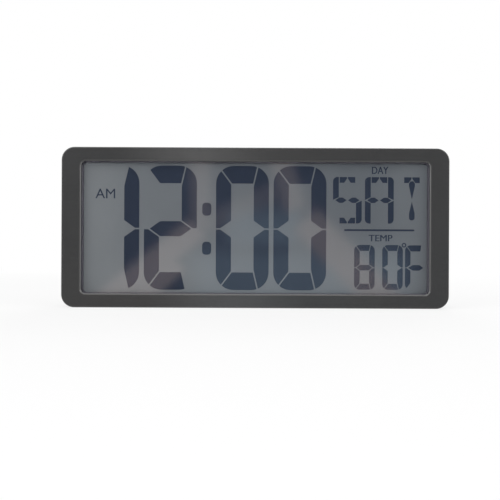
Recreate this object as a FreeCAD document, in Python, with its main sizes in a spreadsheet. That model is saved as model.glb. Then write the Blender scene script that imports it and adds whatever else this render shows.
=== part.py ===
"""A large-digit day clock: moulded case, LCD stack, board, buttons, battery bay and fold-out stand.

X runs to the right seen from the front, Y runs from the front face to the rear, and Z runs up.
The clock stands on its bottom edge at Z = 0, and the middle of its depth lies at Y = 0.
Inside every body, Y is the depth behind the front face. All sizes are in millimetres.
"""
import FreeCAD, Part
import math
import os
import re
import Sketcher

# Driving sizes. A size in words follows the sizes above it
SIZES = {
    # Case
    "case_width": 360,
    "case_height": 149,
    "case_depth": 30,
    "corner_radius": 12,
    "case_wall": 2,
    "front_wall": 2.4,
    "bezel_depth": 16,
    "rim_round": 1.3,
    # Window
    "face_side": 18,
    "face_edge": 13,
    "window_width": "case_width - 2 * face_side",
    "window_height": "case_height - 2 * face_edge",
    "window_corner": 4.6,
    "window_bevel": 1.2,
    # Display stack
    "tape_thick": 0.2,
    "tape_width": 4,
    "lens_thick": 1.8,
    "lens_lap": 5,
    "lens_gap": 0.15,
    "lens_rib": 1.2,
    "spacer_thick": 3.1,
    "spacer_side": 6,
    "spacer_edge": 5.8,
    "spacer_corner": 3.4,
    "glass_inset": 0.3,
    "polariser_thick": 0.3,
    "glass_thick": 1.1,
    "glass_ledge": 5,
    "reflector_thick": 0.3,
    # Support plate and clips
    "plate_thick": 1.5,
    "plate_gap": 1,
    "clip_gap": 0.05,
    "clip_lap": 1,
    "clip_lip": 1.3,
    "clip_width": 8,
    "clip_spread": 220,
    # Rear cover
    "back_wall": 2.2,
    "rear_inset": 0.6,
    "part_line": 0.4,
    "tongue_depth": 2.5,
    "tongue_thick": 1.2,
    "tongue_gap": 0.1,
    "rear_round": 4,
    "rib_thick": 1.4,
    "rib_depth": 3,
    # Case screws
    "boss_half": 3.6,
    "boss_edge": 8,
    "boss_rise": 12.5,
    "boss_spread": "case_height - 2 * boss_rise",
    "boss_clear": 0.4,
    "post_half": 4.8,
    "screw_radius": 1.5,
    "screw_gap": 0.05,
    "screw_length": 12,
    "screw_spare": 0.5,
    "screw_sink": 8,
    "head_radius": 2.8,
    "head_gap": 0.3,
    "head_height": 1.8,
    "drive_width": 0.9,
    "drive_depth": 1,
    # Main board
    "board_width": 220,
    "board_height": 37.5,
    "board_thick": 1.6,
    "board_drop": 7.5,
    "board_lift": 2.2,
    "board_edge": 4,
    "post_side": 6,
    "board_clip_arm": 1.6,
    # Elastomer strips
    "strip_length": 90,
    "strip_thick": 3,
    "strip_start": 6,
    "strip_inset": 0.5,
    "strip_gap": 0.2,
    # Board parts
    "chip_side": 10,
    "chip_height": 1.6,
    "chip_right": 35,
    "part_rise": 30,
    "crystal_radius": 1.5,
    "crystal_length": 8,
    "crystal_right": 56,
    "capacitor_radius": 2.5,
    "capacitor_height": 7,
    "capacitor_left": 35,
    "capacitor_pitch": 7,
    "buzzer_radius": 7,
    "buzzer_height": 7.5,
    "buzzer_inset": 28,
    "buzzer_right": "board_width / 2 - buzzer_inset",
    "sound_drop": 27,
    "sensor_inset": 28,
    "sensor_left": "board_width / 2 - sensor_inset",
    "sensor_radius": 1.2,
    "sensor_leg": 0.5,
    "sensor_leg_pitch": 1.4,
    "sensor_height": 7,
    # Buttons
    "button_pitch": 24,
    "button_drop": 34,
    "button_width": 13,
    "button_height": 7,
    "button_cut": 2,
    "button_gap": 0.15,
    "button_bevel": 0.6,
    "button_sink": 0.2,
    "button_travel": 0.6,
    "flange_lap": 1.5,
    "flange_thick": 1.2,
    "flange_gap": 0.2,
    "stem_side": 4.4,
    "panel_margin": 4,
    "panel_corner": 4,
    "panel_sink": 1.2,
    "switch_side": 6.2,
    "switch_height": 3.5,
    "switch_bore": 2,
    "plunger_side": 3.3,
    "plunger_gap": 0.07,
    "plunger_proud": 1.2,
    "plunger_spare": 0.3,
    # Keyholes
    "keyhole_spread": 230,
    "keyhole_drop": 38,
    "keyhole_radius": 4.5,
    "keyhole_slot": 2.1,
    "keyhole_rise": 9,
    "pocket_margin": 2,
    "pocket_depth": 5,
    "pocket_wall": 1.4,
    # Sound and air openings
    "grille_radius": 6,
    "grille_slot": 1.3,
    "grille_pitch": 2.4,
    "chamber_wall": 1.2,
    "chamber_gap": 0.3,
    "vent_width": 1.4,
    "vent_length": 11,
    "vent_pitch": 3.4,
    # Battery bay
    "cell_radius": 7.1,
    "cell_length": 49.5,
    "nub_radius": 2.7,
    "nub_height": 1,
    "cell_gap": 1,
    "cell_clear": 0.1,
    "bay_side_gap": 0.3,
    "bay_inset": 62,
    "bay_left": "case_width / 2 - bay_inset",
    "bay_rise": 46,
    "bay_wall": 4.2,
    "bay_floor": 1.2,
    "contact_thick": 0.5,
    "contact_half": 5.6,
    "contact_gap": 0.05,
    "tab_width": 3,
    "tab_proud": 2.5,
    "spring_length": 6,
    "spring_thick": 0.4,
    "spring_width": 7,
    "lead_radius": 0.6,
    "lead_bend": 3,
    "lead_run": 7,
    "lead_spread": 4,
    # Battery door
    "door_thick": 2.2,
    "door_lap": 2.5,
    "door_gap": 0.15,
    "door_round": 1.3,
    "door_groove_gap": 0.2,
    "door_pin_radius": 0.8,
    "door_pin_length": 1.6,
    "door_pin_gap": 0.08,
    "latch_width": 12,
    "latch_length": 7,
    "latch_slit": 0.8,
    "scoop_radius": 8,
    "scoop_sink": 1.2,
    # Stand
    "stand_width": 100,
    "stand_axis_drop": 61,
    "stand_axis_rise": "case_height - stand_axis_drop",
    "stand_base_gap": 4.5,
    "stand_length": "stand_axis_rise - stand_base_gap",
    "stand_thick": 4.4,
    "stand_sink": 0.2,
    "stand_floor_gap": 0.3,
    "stand_side_gap": 0.4,
    "stand_open": 30,
    "stand_stop_gap": 0.05,
    "stand_pin_radius": 1.8,
    "stand_pin_length": 2.4,
    "stand_pin_gap": 0.08,
    "stand_pin_spare": 0.3,
    "stand_recess_wall": 3.4,
    "stand_skin": 2,
    "stand_rib": 2.4,
    "foot_height": 3,
    "notch_width": 26,
    "notch_height": 12,
    "notch_corner": 5,
}

RIBS_ACROSS = 3
BUTTONS = ("set", "mode", "up", "down", "alarm")
FUNCTIONS = ("sin", "cos", "sqrt", "deg")

doc = FreeCAD.newDocument("DayClock")
sheet = doc.addObject("Spreadsheet::Sheet", "Sizes")
for row, (word, size) in enumerate(SIZES.items(), start=1):
    sheet.set(f"A{row}", word)
    sheet.set(f"B{row}", f"={size}")
    sheet.setAlias(f"B{row}", word)
doc.recompute()

# Depths behind the front face, as expressions in the sheet's words
LENS_FRONT = "(front_wall + tape_thick)"
SPACER_FRONT = f"({LENS_FRONT} + lens_thick)"
POLARISER_FRONT = f"({SPACER_FRONT} + spacer_thick)"
GLASS_FRONT = f"({POLARISER_FRONT} + polariser_thick)"
GLASS_MIDDLE = f"({GLASS_FRONT} + glass_thick)"
REFLECTOR_FRONT = f"({GLASS_MIDDLE} + glass_thick)"
PLATE_FRONT = f"({REFLECTOR_FRONT} + reflector_thick)"
PLATE_BACK = f"({PLATE_FRONT} + plate_thick)"
BOARD_FRONT = f"({PLATE_BACK} + board_lift)"
BOARD_BACK = f"({BOARD_FRONT} + board_thick)"
TONGUE_FRONT = "(bezel_depth - tongue_depth)"
COVER_FRONT = "(bezel_depth + part_line)"
WALL_FRONT = "(case_depth - back_wall)"
SCREW_SEAT = "(case_depth - screw_sink)"

# Places across the face
MIDDLE = "(case_height / 2)"
LENS_WIDTH = "(window_width + 2 * lens_lap)"
LENS_HEIGHT = "(window_height + 2 * lens_lap)"
GLASS_WIDTH = f"({LENS_WIDTH} - 2 * glass_inset)"
GLASS_HEIGHT = f"({LENS_HEIGHT} - 2 * glass_inset)"
GLASS_TOP = f"({MIDDLE} + {GLASS_HEIGHT} / 2)"
BOSS_X = "(case_width / 2 - boss_edge)"
BOARD_TOP = "(case_height - board_drop)"
BOARD_MIDDLE = f"({BOARD_TOP} - board_height / 2)"
STRIP_Z = f"({GLASS_TOP} - strip_inset - strip_thick / 2)"
PART_Z = f"({BOARD_TOP} - board_height + part_rise)"
BUTTON_Z = "(case_height - button_drop)"
SOUND_Z = "(case_height - sound_drop)"
KEYHOLE_X = "(keyhole_spread / 2)"
KEYHOLE_Z = "(case_height - keyhole_drop)"

# Buttons and their switches
PAD_FRONT = "(case_depth - panel_sink - back_wall)"
FLANGE_FRONT = f"({PAD_FRONT} - flange_gap - flange_thick)"
SWITCH_BACK = f"({BOARD_BACK} + switch_height)"
PLUNGER_BACK = f"({SWITCH_BACK} + plunger_proud)"
PLUNGER_FRONT = f"({SWITCH_BACK} - switch_bore + button_travel + plunger_spare)"

# Battery bay and door
DOOR_FRONT = "(case_depth - door_thick)"
CELL_S = f"({DOOR_FRONT} - cell_clear - cell_radius)"
BAY_BOTTOM = f"({CELL_S} - cell_radius - cell_clear)"
BAY_LENGTH = "(cell_length + nub_height + spring_length + 2 * contact_thick + contact_gap)"
BAY_HEIGHT = "(4 * cell_radius + cell_gap + 2 * bay_side_gap)"
CELL_RISE = "(cell_radius + cell_gap / 2)"
BAY_END = f"(-bay_left + {BAY_LENGTH} / 2)"
BAY_START = f"(-bay_left - {BAY_LENGTH} / 2)"
DOOR_WIDTH = f"({BAY_LENGTH} + 2 * door_lap)"
DOOR_HEIGHT = f"({BAY_HEIGHT} + 2 * door_lap)"
DOOR_BOTTOM = f"(bay_rise - {DOOR_HEIGHT} / 2)"
DOOR_TOP = f"(bay_rise + {DOOR_HEIGHT} / 2)"
DOOR_AXIS_S = "(case_depth - door_round)"
DOOR_AXIS_Z = f"({DOOR_BOTTOM} + door_round)"

# Stand
STAND_BACK = "(case_depth - stand_sink)"
STAND_AXIS_S = f"({STAND_BACK} - stand_thick / 2)"
STAND_FRONT = f"({STAND_BACK} - stand_thick)"
RECESS_FLOOR = f"({STAND_FRONT} - stand_floor_gap)"
STOP_REACH = "(stand_thick / 2 + stand_floor_gap - stand_stop_gap)"
STAND_TAIL = f"({STOP_REACH} / sin(stand_open * 1 deg))"
TAIL_SWING = f"sqrt({STAND_TAIL} * {STAND_TAIL} + stand_thick * stand_thick / 4)"
RECESS_WIDTH = "(stand_width + 2 * stand_side_gap)"
STAND_TIP = "(stand_axis_rise - stand_length)"
RECESS_BOTTOM = f"({STAND_TIP} - stand_side_gap)"
RECESS_TOP = f"(stand_axis_rise + {TAIL_SWING} + stand_side_gap)"


# Expressions and sketches

def spell(text):
    """Point each size word of an expression at the sheet."""
    def point(match):
        return match.group() if match.group() in FUNCTIONS else "Sizes." + match.group()
    return re.sub(r"[a-z][a-z_]*", point, text)


def number(text):
    """The value that an expression has now."""
    return float(sheet.evalExpression(spell(text)))


def dimension(sketch, kind, where, text):
    """Add a driving dimension to a sketch and bind it to the sheet."""
    index = sketch.addConstraint(Sketcher.Constraint(kind, *where, number(text)))
    sketch.setExpression(f"Constraints[{index}]", spell(text))


def rounded(x, z, width, height, radius="0"):
    """A rectangle about the point x, z, with round corners where radius isn't 0."""
    def draw(sketch):
        half_width, half_height, corner = number(width) / 2, number(height) / 2, number(radius)
        first = sketch.GeometryCount
        ways = ((1, -1), (1, 1), (-1, 1), (-1, -1))
        centres = [
            FreeCAD.Vector(
                number(x) + across * (half_width - corner),
                number(z) + up * (half_height - corner), 0)
            for across, up in ways]
        starts = (-math.pi / 2, 0, math.pi / 2, math.pi)
        shapes = []
        for index, (centre, start) in enumerate(zip(centres, starts)):
            before = centres[index - 1]
            out = FreeCAD.Vector(math.cos(start), math.sin(start), 0) * corner
            shapes.append(Part.LineSegment(before + out, centre + out))
            if corner > 0:
                circle = Part.Circle(centre, FreeCAD.Vector(0, 0, 1), corner)
                shapes.append(Part.ArcOfCircle(circle, start, start + math.pi / 2))
        sketch.addGeometry(shapes, False)
        count = len(shapes)
        step = count // 4
        joint = "Tangent" if corner > 0 else "Coincident"
        rules = [
            Sketcher.Constraint(joint, first + index, 2, first + (index + 1) % count, 1)
            for index in range(count)]
        for side in range(4):
            way = "Vertical" if side % 2 else "Horizontal"
            rules.append(Sketcher.Constraint(way, first + side * step))
        if corner > 0:
            for side in range(3):
                arcs = (first + side * step + 1, first + side * step + 1 + step)
                rules.append(Sketcher.Constraint("Equal", *arcs))
        sketch.addConstraint(rules)
        bottom, right, top, left = [first + side * step for side in range(4)]
        dimension(sketch, "DistanceX", (left, 1, right, 2), width)
        dimension(sketch, "DistanceY", (bottom, 1, top, 2), height)
        dimension(sketch, "DistanceX", (-1, 1, left, 1), f"{x} - ({width}) / 2")
        dimension(sketch, "DistanceY", (-1, 1, bottom, 1), f"{z} - ({height}) / 2")
        if corner > 0:
            dimension(sketch, "Radius", (first + 1,), radius)
    return draw


def cornered(x, z, width, height, cut):
    """A rectangle about the point x, z, with its corners cut off."""
    def draw(sketch):
        half_width, half_height, corner = number(width) / 2, number(height) / 2, number(cut)
        first = sketch.GeometryCount
        ends = []
        for across, up in ((1, -1), (1, 1), (-1, 1), (-1, -1)):
            tip = FreeCAD.Vector(number(x) + across * half_width, number(z) + up * half_height, 0)
            level = tip - FreeCAD.Vector(across * corner, 0, 0)
            upright = tip - FreeCAD.Vector(0, up * corner, 0)
            ends += [level, upright] if across * up < 0 else [upright, level]
        sketch.addGeometry([
            Part.LineSegment(ends[index], ends[(index + 1) % 8]) for index in range(8)], False)
        rules = [
            Sketcher.Constraint("Coincident", first + index, 2, first + (index + 1) % 8, 1)
            for index in range(8)]
        rules += [Sketcher.Constraint("Vertical", first + side) for side in (1, 5)]
        rules += [Sketcher.Constraint("Horizontal", first + side) for side in (3, 7)]
        sketch.addConstraint(rules)
        for side, left, low in ((0, 1, 1), (2, 2, 1), (4, 2, 2), (6, 1, 2)):
            line = first + side
            dimension(sketch, "DistanceX", (line, left, line, 3 - left), cut)
            dimension(sketch, "DistanceY", (line, low, line, 3 - low), cut)
        right, top, left, bottom = (first + side for side in (1, 3, 5, 7))
        dimension(sketch, "DistanceX", (left, 1, right, 1), width)
        dimension(sketch, "DistanceY", (bottom, 1, top, 1), height)
        dimension(sketch, "DistanceX", (-1, 1, left, 1), f"{x} - ({width}) / 2")
        dimension(sketch, "DistanceY", (-1, 1, bottom, 1), f"{z} - ({height}) / 2")
    return draw


def disc(x, z, radius):
    """A circle about the point x, z."""
    def draw(sketch):
        index = sketch.GeometryCount
        centre = FreeCAD.Vector(number(x), number(z), 0)
        sketch.addGeometry(Part.Circle(centre, FreeCAD.Vector(0, 0, 1), number(radius)), False)
        dimension(sketch, "Radius", (index,), radius)
        dimension(sketch, "DistanceX", (-1, 1, index, 3), x)
        dimension(sketch, "DistanceY", (-1, 1, index, 3), z)
    return draw


def slot(x, z, length, radius):
    """An upright slot with round ends, length between the middles of its ends, about x, z."""
    def draw(sketch):
        first = sketch.GeometryCount
        half, r = number(length) / 2, number(radius)
        centre_x, centre_z = number(x), number(z)
        axis = FreeCAD.Vector(0, 0, 1)
        top = Part.Circle(FreeCAD.Vector(centre_x, centre_z + half, 0), axis, r)
        bottom = Part.Circle(FreeCAD.Vector(centre_x, centre_z - half, 0), axis, r)
        right = (FreeCAD.Vector(centre_x + r, centre_z - half, 0),
                 FreeCAD.Vector(centre_x + r, centre_z + half, 0))
        left = (FreeCAD.Vector(centre_x - r, centre_z + half, 0),
                FreeCAD.Vector(centre_x - r, centre_z - half, 0))
        sketch.addGeometry([
            Part.LineSegment(*right), Part.ArcOfCircle(top, 0, math.pi),
            Part.LineSegment(*left), Part.ArcOfCircle(bottom, math.pi, 2 * math.pi)], False)
        rules = [
            Sketcher.Constraint("Tangent", first + index, 2, first + (index + 1) % 4, 1)
            for index in range(4)]
        rules.append(Sketcher.Constraint("Vertical", first))
        sketch.addConstraint(rules)
        dimension(sketch, "Radius", (first + 1,), radius)
        dimension(sketch, "DistanceY", (first + 3, 3, first + 1, 3), length)
        dimension(sketch, "DistanceX", (-1, 1, first + 1, 3), x)
        dimension(sketch, "DistanceY", (-1, 1, first + 3, 3), f"{z} - ({length}) / 2")
    return draw


# Bodies and features

PLANES = {"back": ("XZ_Plane", -1), "right": ("YZ_Plane", 1), "up": ("XY_Plane", 1)}


def new_body(label):
    """A body whose Y is the depth behind the front face."""
    body = doc.addObject("PartDesign::Body", label)
    body.Label = label
    body.setExpression("Placement.Base.y", spell("-case_depth / 2"))
    return body


def feature(body, kind, name, facing, start, length, outlines):
    """Pad or pocket outlines from start, for length, towards the back, the right or up."""
    role, sign = PLANES[facing]
    plane = [part for part in body.Origin.OriginFeatures if part.Role == role][0]
    sketch = body.newObject("Sketcher::SketchObject", f"{body.Label}_{name}_outline")
    sketch.AttachmentSupport = (plane, "")
    sketch.MapMode = "FlatFace"
    sketch.setExpression("AttachmentOffset.Base.z", spell(f"{sign} * ({start})"))
    for outline in outlines:
        outline(sketch)
    made = body.newObject(f"PartDesign::{kind}", f"{body.Label}_{name}")
    made.Profile = sketch
    made.Reversed = (sign < 0) == (kind == "Pad")
    made.setExpression("Length", spell(length))
    return made


def grow(body, name, start, length, outlines, facing="back"):
    """Add material."""
    return feature(body, "Pad", name, facing, start, length, outlines)


def carve(body, name, start, length, outlines, facing="back"):
    """Take material away."""
    return feature(body, "Pocket", name, facing, start, length, outlines)


def dress(body, kind, name, size, chosen):
    """Fillet or chamfer the edges that chosen picks."""
    doc.recompute()
    base = body.Tip
    edges = [f"Edge{index}" for index, edge in enumerate(base.Shape.Edges, 1) if chosen(edge)]
    if not edges:
        raise ValueError(f"{body.Label} {name} finds no edges")
    made = body.newObject(f"PartDesign::{kind}", f"{body.Label}_{name}")
    made.Base = (base, edges)
    made.setExpression("Radius" if kind == "Fillet" else "Size", spell(size))
    return made


def near(value, text):
    """Whether a coordinate is where an expression puts it."""
    return abs(value - number(text)) < 1e-4


def flat_at(edge, depth):
    """Whether an edge lies all at one depth."""
    return near(edge.BoundBox.YMin, depth) and near(edge.BoundBox.YMax, depth)


def inside(edge, width, height, middle=MIDDLE):
    """Whether an edge lies within a centred rectangle."""
    box = edge.BoundBox
    reach_x = number(width) / 2 + 1e-3
    reach_z = number(height) / 2 + 1e-3
    return max(abs(box.XMin), abs(box.XMax)) < reach_x and max(
        abs(box.ZMin - number(middle)), abs(box.ZMax - number(middle))) < reach_z


# Places that several pieces share

CASE_BOSSES = [
    (f"{side} * {BOSS_X}", f"{MIDDLE} + {level} * boss_spread / 2")
    for side in (-1, 1) for level in (-1, 1)]
BOARD_CLIP_Z = [
    f"{BOARD_MIDDLE} + {level} * (board_height / 2 - post_side)" for level in (-1, 1)]
BUTTON_X = {name: f"{index - 2} * button_pitch" for index, name in enumerate(BUTTONS)}


def discs(places, radius):
    """Circles of one radius at many places."""
    return [disc(x, z, radius) for x, z in places]


def squares(places, side):
    """Squares of one size at many places."""
    return [rounded(x, z, side, side) for x, z in places]


def case_outline(inset="0"):
    """The clock's front outline, moved inwards."""
    return rounded(
        "0", MIDDLE, f"case_width - 2 * ({inset})", f"case_height - 2 * ({inset})",
        f"corner_radius - ({inset})")


# Front housing and display

def front_bezel():
    """The front moulding: picture-frame face, side walls, display rib and screw bosses."""
    body = new_body("front_bezel")
    grow(body, "block", "0", "bezel_depth", [case_outline()])
    dress(body, "Fillet", "rim", "rim_round", lambda edge: flat_at(edge, "0"))
    carve(body, "inside", "front_wall", "bezel_depth - front_wall", [case_outline("case_wall")])
    window = rounded("0", MIDDLE, "window_width", "window_height", "window_corner")
    carve(body, "window", "0", "front_wall", [window])
    dress(body, "Chamfer", "bevel", "window_bevel",
          lambda edge: flat_at(edge, "0") and inside(edge, "window_width", "window_height"))
    room = [f"{LENS_WIDTH} + 2 * lens_gap", f"{LENS_HEIGHT} + 2 * lens_gap"]
    grow(body, "rib", "front_wall", f"{PLATE_FRONT} - front_wall", [
        rounded("0", MIDDLE, *room), rounded("0", MIDDLE, *[f"{side} + 2 * lens_rib" for side in room])])
    grow(body, "bosses", "front_wall", "bezel_depth - front_wall",
         squares(CASE_BOSSES, "2 * boss_half"))
    bottom = f"({SCREW_SEAT} - screw_length - screw_spare)"
    carve(body, "pilots", bottom, f"bezel_depth - {bottom}",
          discs(CASE_BOSSES, "screw_radius + screw_gap"))
    arm = "(case_wall / 2 + plate_gap - clip_gap)"
    grow(body, "clip_arms", "front_wall", f"{PLATE_BACK} + clip_lip - front_wall", plate_clips(arm))
    lip = "(case_wall / 2 + plate_gap + clip_lap)"
    grow(body, "clip_lips", f"{PLATE_BACK} + clip_gap", "clip_lip - clip_gap", plate_clips(lip))
    return body


def plate_clips(reach):
    """Blocks that stand out from the middle of the case's walls, where the plate is clipped."""
    across = f"(case_width / 2 - case_wall / 2 - {reach} / 2)"
    up = f"({MIDDLE} - case_wall / 2 - {reach} / 2)"
    ends = [rounded(f"{side} * {across}", MIDDLE, reach, "clip_width") for side in (-1, 1)]
    edges = [
        rounded(f"{column} * clip_spread / 2", f"{MIDDLE} + {side} * {up}", "clip_width", reach)
        for column in (-1, 0, 1) for side in (-1, 1)]
    return ends + edges


def lens_outline(inset="0"):
    """The outline of the lens, moved inwards."""
    return rounded(
        "0", MIDDLE, f"{LENS_WIDTH} - 2 * ({inset})", f"{LENS_HEIGHT} - 2 * ({inset})")


def display_lens():
    """The clear acrylic window."""
    body = new_body("display_lens")
    grow(body, "sheet", LENS_FRONT, "lens_thick", [lens_outline()])
    return body


def lens_tape():
    """The adhesive frame between the face moulding and the lens."""
    body = new_body("lens_tape")
    grow(body, "frame", "front_wall", "tape_thick", [lens_outline(), lens_outline("tape_width")])
    return body


def lcd_spacer():
    """The black frame that holds the display behind the lens."""
    body = new_body("lcd_spacer")
    opening = rounded(
        "0", MIDDLE, f"{LENS_WIDTH} - 2 * spacer_side", f"{LENS_HEIGHT} - 2 * spacer_edge", "spacer_corner")
    grow(body, "frame", SPACER_FRONT, "spacer_thick", [lens_outline(), opening])
    return body


def display_layer(label, front, thick, drop="0"):
    """One sheet of the display, its top edge lower by drop."""
    body = new_body(label)
    grow(body, "sheet", front, thick, [
        rounded("0", f"{MIDDLE} - ({drop}) / 2", GLASS_WIDTH, f"{GLASS_HEIGHT} - ({drop})")])
    return body


def contact_strips():
    """The two elastomer strips that carry the display's signals to the board."""
    body = new_body("contact_strips")
    grow(body, "strips", GLASS_MIDDLE, f"{BOARD_FRONT} - {GLASS_MIDDLE}", [
        rounded(f"{side} * (strip_start + strip_length / 2)", STRIP_Z, "strip_length", "strip_thick")
        for side in (-1, 1)])
    return body


def support_plate():
    """The moulded plate that presses the display forward and carries the board in four clips."""
    body = new_body("support_plate")
    grow(body, "sheet", PLATE_FRONT, "plate_thick", [case_outline("case_wall + plate_gap")])
    reach = "(boss_edge + boss_half + boss_clear)"
    high = f"(case_height - boss_spread) / 2 + boss_half + boss_clear"
    corners = [
        rounded(f"{side} * (case_width - {reach}) / 2", f"{MIDDLE} + {level} * (case_height - ({high})) / 2",
                reach, high)
        for side in (-1, 1) for level in (-1, 1)]
    carve(body, "boss_room", PLATE_FRONT, "plate_thick", corners)
    carve(body, "strip_slots", PLATE_FRONT, "plate_thick", [
        rounded(f"{side} * (strip_start + strip_length / 2)", STRIP_Z, "strip_length + 2 * strip_gap",
                "strip_thick + 2 * strip_gap")
        for side in (-1, 1)])
    inner = "(board_width / 2 - post_side / 2)"
    posts = [(f"{side} * {inner}", z) for side in (-1, 0, 1) for z in BOARD_CLIP_Z[:1]]
    posts += [(f"{side} * {inner}", z) for side in (-1, 1) for z in BOARD_CLIP_Z[1:]]
    grow(body, "board_posts", PLATE_BACK, "board_lift", squares(posts, "post_side"))
    arm = "(board_width / 2 + clip_gap + board_clip_arm / 2)"
    grow(body, "clip_arms", PLATE_BACK, f"{BOARD_BACK} + clip_lip - {PLATE_BACK}", [
        rounded(f"{side} * {arm}", z, "board_clip_arm", "post_side")
        for side in (-1, 1) for z in BOARD_CLIP_Z])
    lip = "(board_clip_arm + clip_gap + clip_lap)"
    grow(body, "clip_lips", f"{BOARD_BACK} + clip_gap", "clip_lip - clip_gap", [
        rounded(f"{side} * (board_width / 2 - clip_lap + {lip} / 2)", z, lip, "post_side")
        for side in (-1, 1) for z in BOARD_CLIP_Z])
    return body


def case_screws():
    """The four screws that hold the rear cover, with a cross in each head."""
    body = new_body("case_screws")
    grow(body, "shanks", f"{SCREW_SEAT} - screw_length", "screw_length", discs(CASE_BOSSES, "screw_radius"))
    grow(body, "heads", SCREW_SEAT, "head_height", discs(CASE_BOSSES, "head_radius"))
    top = f"({SCREW_SEAT} + head_height - drive_depth)"
    across = [rounded(x, z, "head_radius * 1.1", "drive_width") for x, z in CASE_BOSSES]
    carve(body, "drive_across", top, "drive_depth", across)
    upright = [rounded(x, z, "drive_width", "head_radius * 1.1") for x, z in CASE_BOSSES]
    carve(body, "drive_upright", top, "drive_depth", upright)
    return body


# Main board and what it carries

def main_board():
    """The printed board, on its posts."""
    body = new_body("main_board")
    grow(body, "sheet", BOARD_FRONT, "board_thick", [
        rounded("0", BOARD_MIDDLE, "board_width", "board_height")])
    return body


def controller_chip():
    """The controller in its flat package."""
    body = new_body("controller_chip")
    grow(body, "package", BOARD_BACK, "chip_height", [
        rounded("chip_right", PART_Z, "chip_side", "chip_side")])
    dress(body, "Chamfer", "edges", "chip_height / 6",
          lambda edge: flat_at(edge, f"{BOARD_BACK} + chip_height"))
    return body


def clock_crystal():
    """The timing crystal, lying along the board."""
    body = new_body("clock_crystal")
    grow(body, "can", "crystal_right - crystal_length / 2", "crystal_length", [
        disc(f"{BOARD_BACK} + crystal_radius", PART_Z, "crystal_radius")], facing="right")
    return body


def board_capacitors():
    """Two electrolytic capacitors standing on the board."""
    body = new_body("board_capacitors")
    places = [(f"-capacitor_left - {index} * capacitor_pitch", PART_Z) for index in range(2)]
    grow(body, "cans", BOARD_BACK, "capacitor_height", discs(places, "capacitor_radius"))
    return body


def buzzer():
    """The alarm sounder, under the grille."""
    body = new_body("buzzer")
    grow(body, "case", BOARD_BACK, "buzzer_height", [disc("buzzer_right", SOUND_Z, "buzzer_radius")])
    return body


def temperature_sensor():
    """The sensor bead, held off the board on two legs behind the air slots."""
    body = new_body("temperature_sensor")
    legs = [(f"-sensor_left + {side} * sensor_leg_pitch / 2", SOUND_Z) for side in (-1, 1)]
    grow(body, "legs", BOARD_BACK, "sensor_height", squares(legs, "sensor_leg"))
    grow(body, "bead", f"{BOARD_BACK} + sensor_height - sensor_radius", "2 * sensor_radius", [
        rounded("-sensor_left", SOUND_Z, "2 * sensor_radius", "3 * sensor_radius")])
    return body


def button_switches():
    """The five switch housings on the board."""
    body = new_body("button_switches")
    places = [(x, BUTTON_Z) for x in BUTTON_X.values()]
    grow(body, "housings", BOARD_BACK, "switch_height", squares(places, "switch_side"))
    carve(body, "bores", f"{SWITCH_BACK} - switch_bore", "switch_bore",
          squares(places, "plunger_side + 2 * plunger_gap"))
    return body


def button_plunger(name):
    """The moving square pin of one switch."""
    body = new_body(f"{name}_plunger")
    grow(body, "pin", PLUNGER_FRONT, f"{PLUNGER_BACK} - {PLUNGER_FRONT}",
         squares([(BUTTON_X[name], BUTTON_Z)], "plunger_side"))
    return body


def push_button(name):
    """One key: cap, stop flange and the stem that meets its switch."""
    body = new_body(f"{name}_button")
    x = BUTTON_X[name]
    back = "(case_depth - button_sink)"
    grow(body, "cap", FLANGE_FRONT, f"{back} - {FLANGE_FRONT}", [
        cornered(x, BUTTON_Z, "button_width", "button_height", "button_cut")])
    dress(body, "Chamfer", "cap_edge", "button_bevel", lambda edge: flat_at(edge, back))
    grow(body, "flange", FLANGE_FRONT, "flange_thick", [
        rounded(x, BUTTON_Z, "button_width + 2 * flange_lap", "button_height + 2 * flange_lap")])
    grow(body, "stem", PLUNGER_BACK, f"{FLANGE_FRONT} - {PLUNGER_BACK}",
         squares([(x, BUTTON_Z)], "stem_side"))
    return body


# Rear housing

def keyhole_rooms(wall):
    """The closed rooms behind the keyholes, for screw heads."""
    height = f"keyhole_rise + keyhole_radius + keyhole_slot + 2 * (pocket_margin + {wall})"
    middle = f"{KEYHOLE_Z} + (keyhole_rise + keyhole_slot - keyhole_radius) / 2"
    width = f"2 * (keyhole_radius + pocket_margin + {wall})"
    return [rounded(f"{side} * {KEYHOLE_X}", middle, width, height) for side in (-1, 1)]


def grille_slots():
    """Upright sound slots within a circle."""
    slots = []
    for index in (-2, -1, 0, 1, 2):
        across = f"({index} * grille_pitch)"
        length = f"2 * sqrt(grille_radius * grille_radius - {across} * {across})"
        slots.append(rounded(f"buzzer_right + {across}", SOUND_Z, "grille_slot", length))
    return slots


def cover_shell(body):
    """The open box of the rear cover, with the tongue that enters the front housing."""
    grow(body, "block", COVER_FRONT, f"case_depth - {COVER_FRONT}", [
        rounded("0", "(case_height - rear_inset) / 2", "case_width - 2 * rear_inset",
                "case_height - rear_inset", "corner_radius - rear_inset")])
    dress(body, "Fillet", "rear_edge", "rear_round", lambda edge: flat_at(edge, "case_depth"))
    grow(body, "tongue", TONGUE_FRONT, f"{COVER_FRONT} - {TONGUE_FRONT}", [
        case_outline("case_wall + tongue_gap")])
    carve(body, "inside", TONGUE_FRONT, f"{WALL_FRONT} - {TONGUE_FRONT}", [
        case_outline("case_wall + tongue_gap + tongue_thick")])


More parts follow.
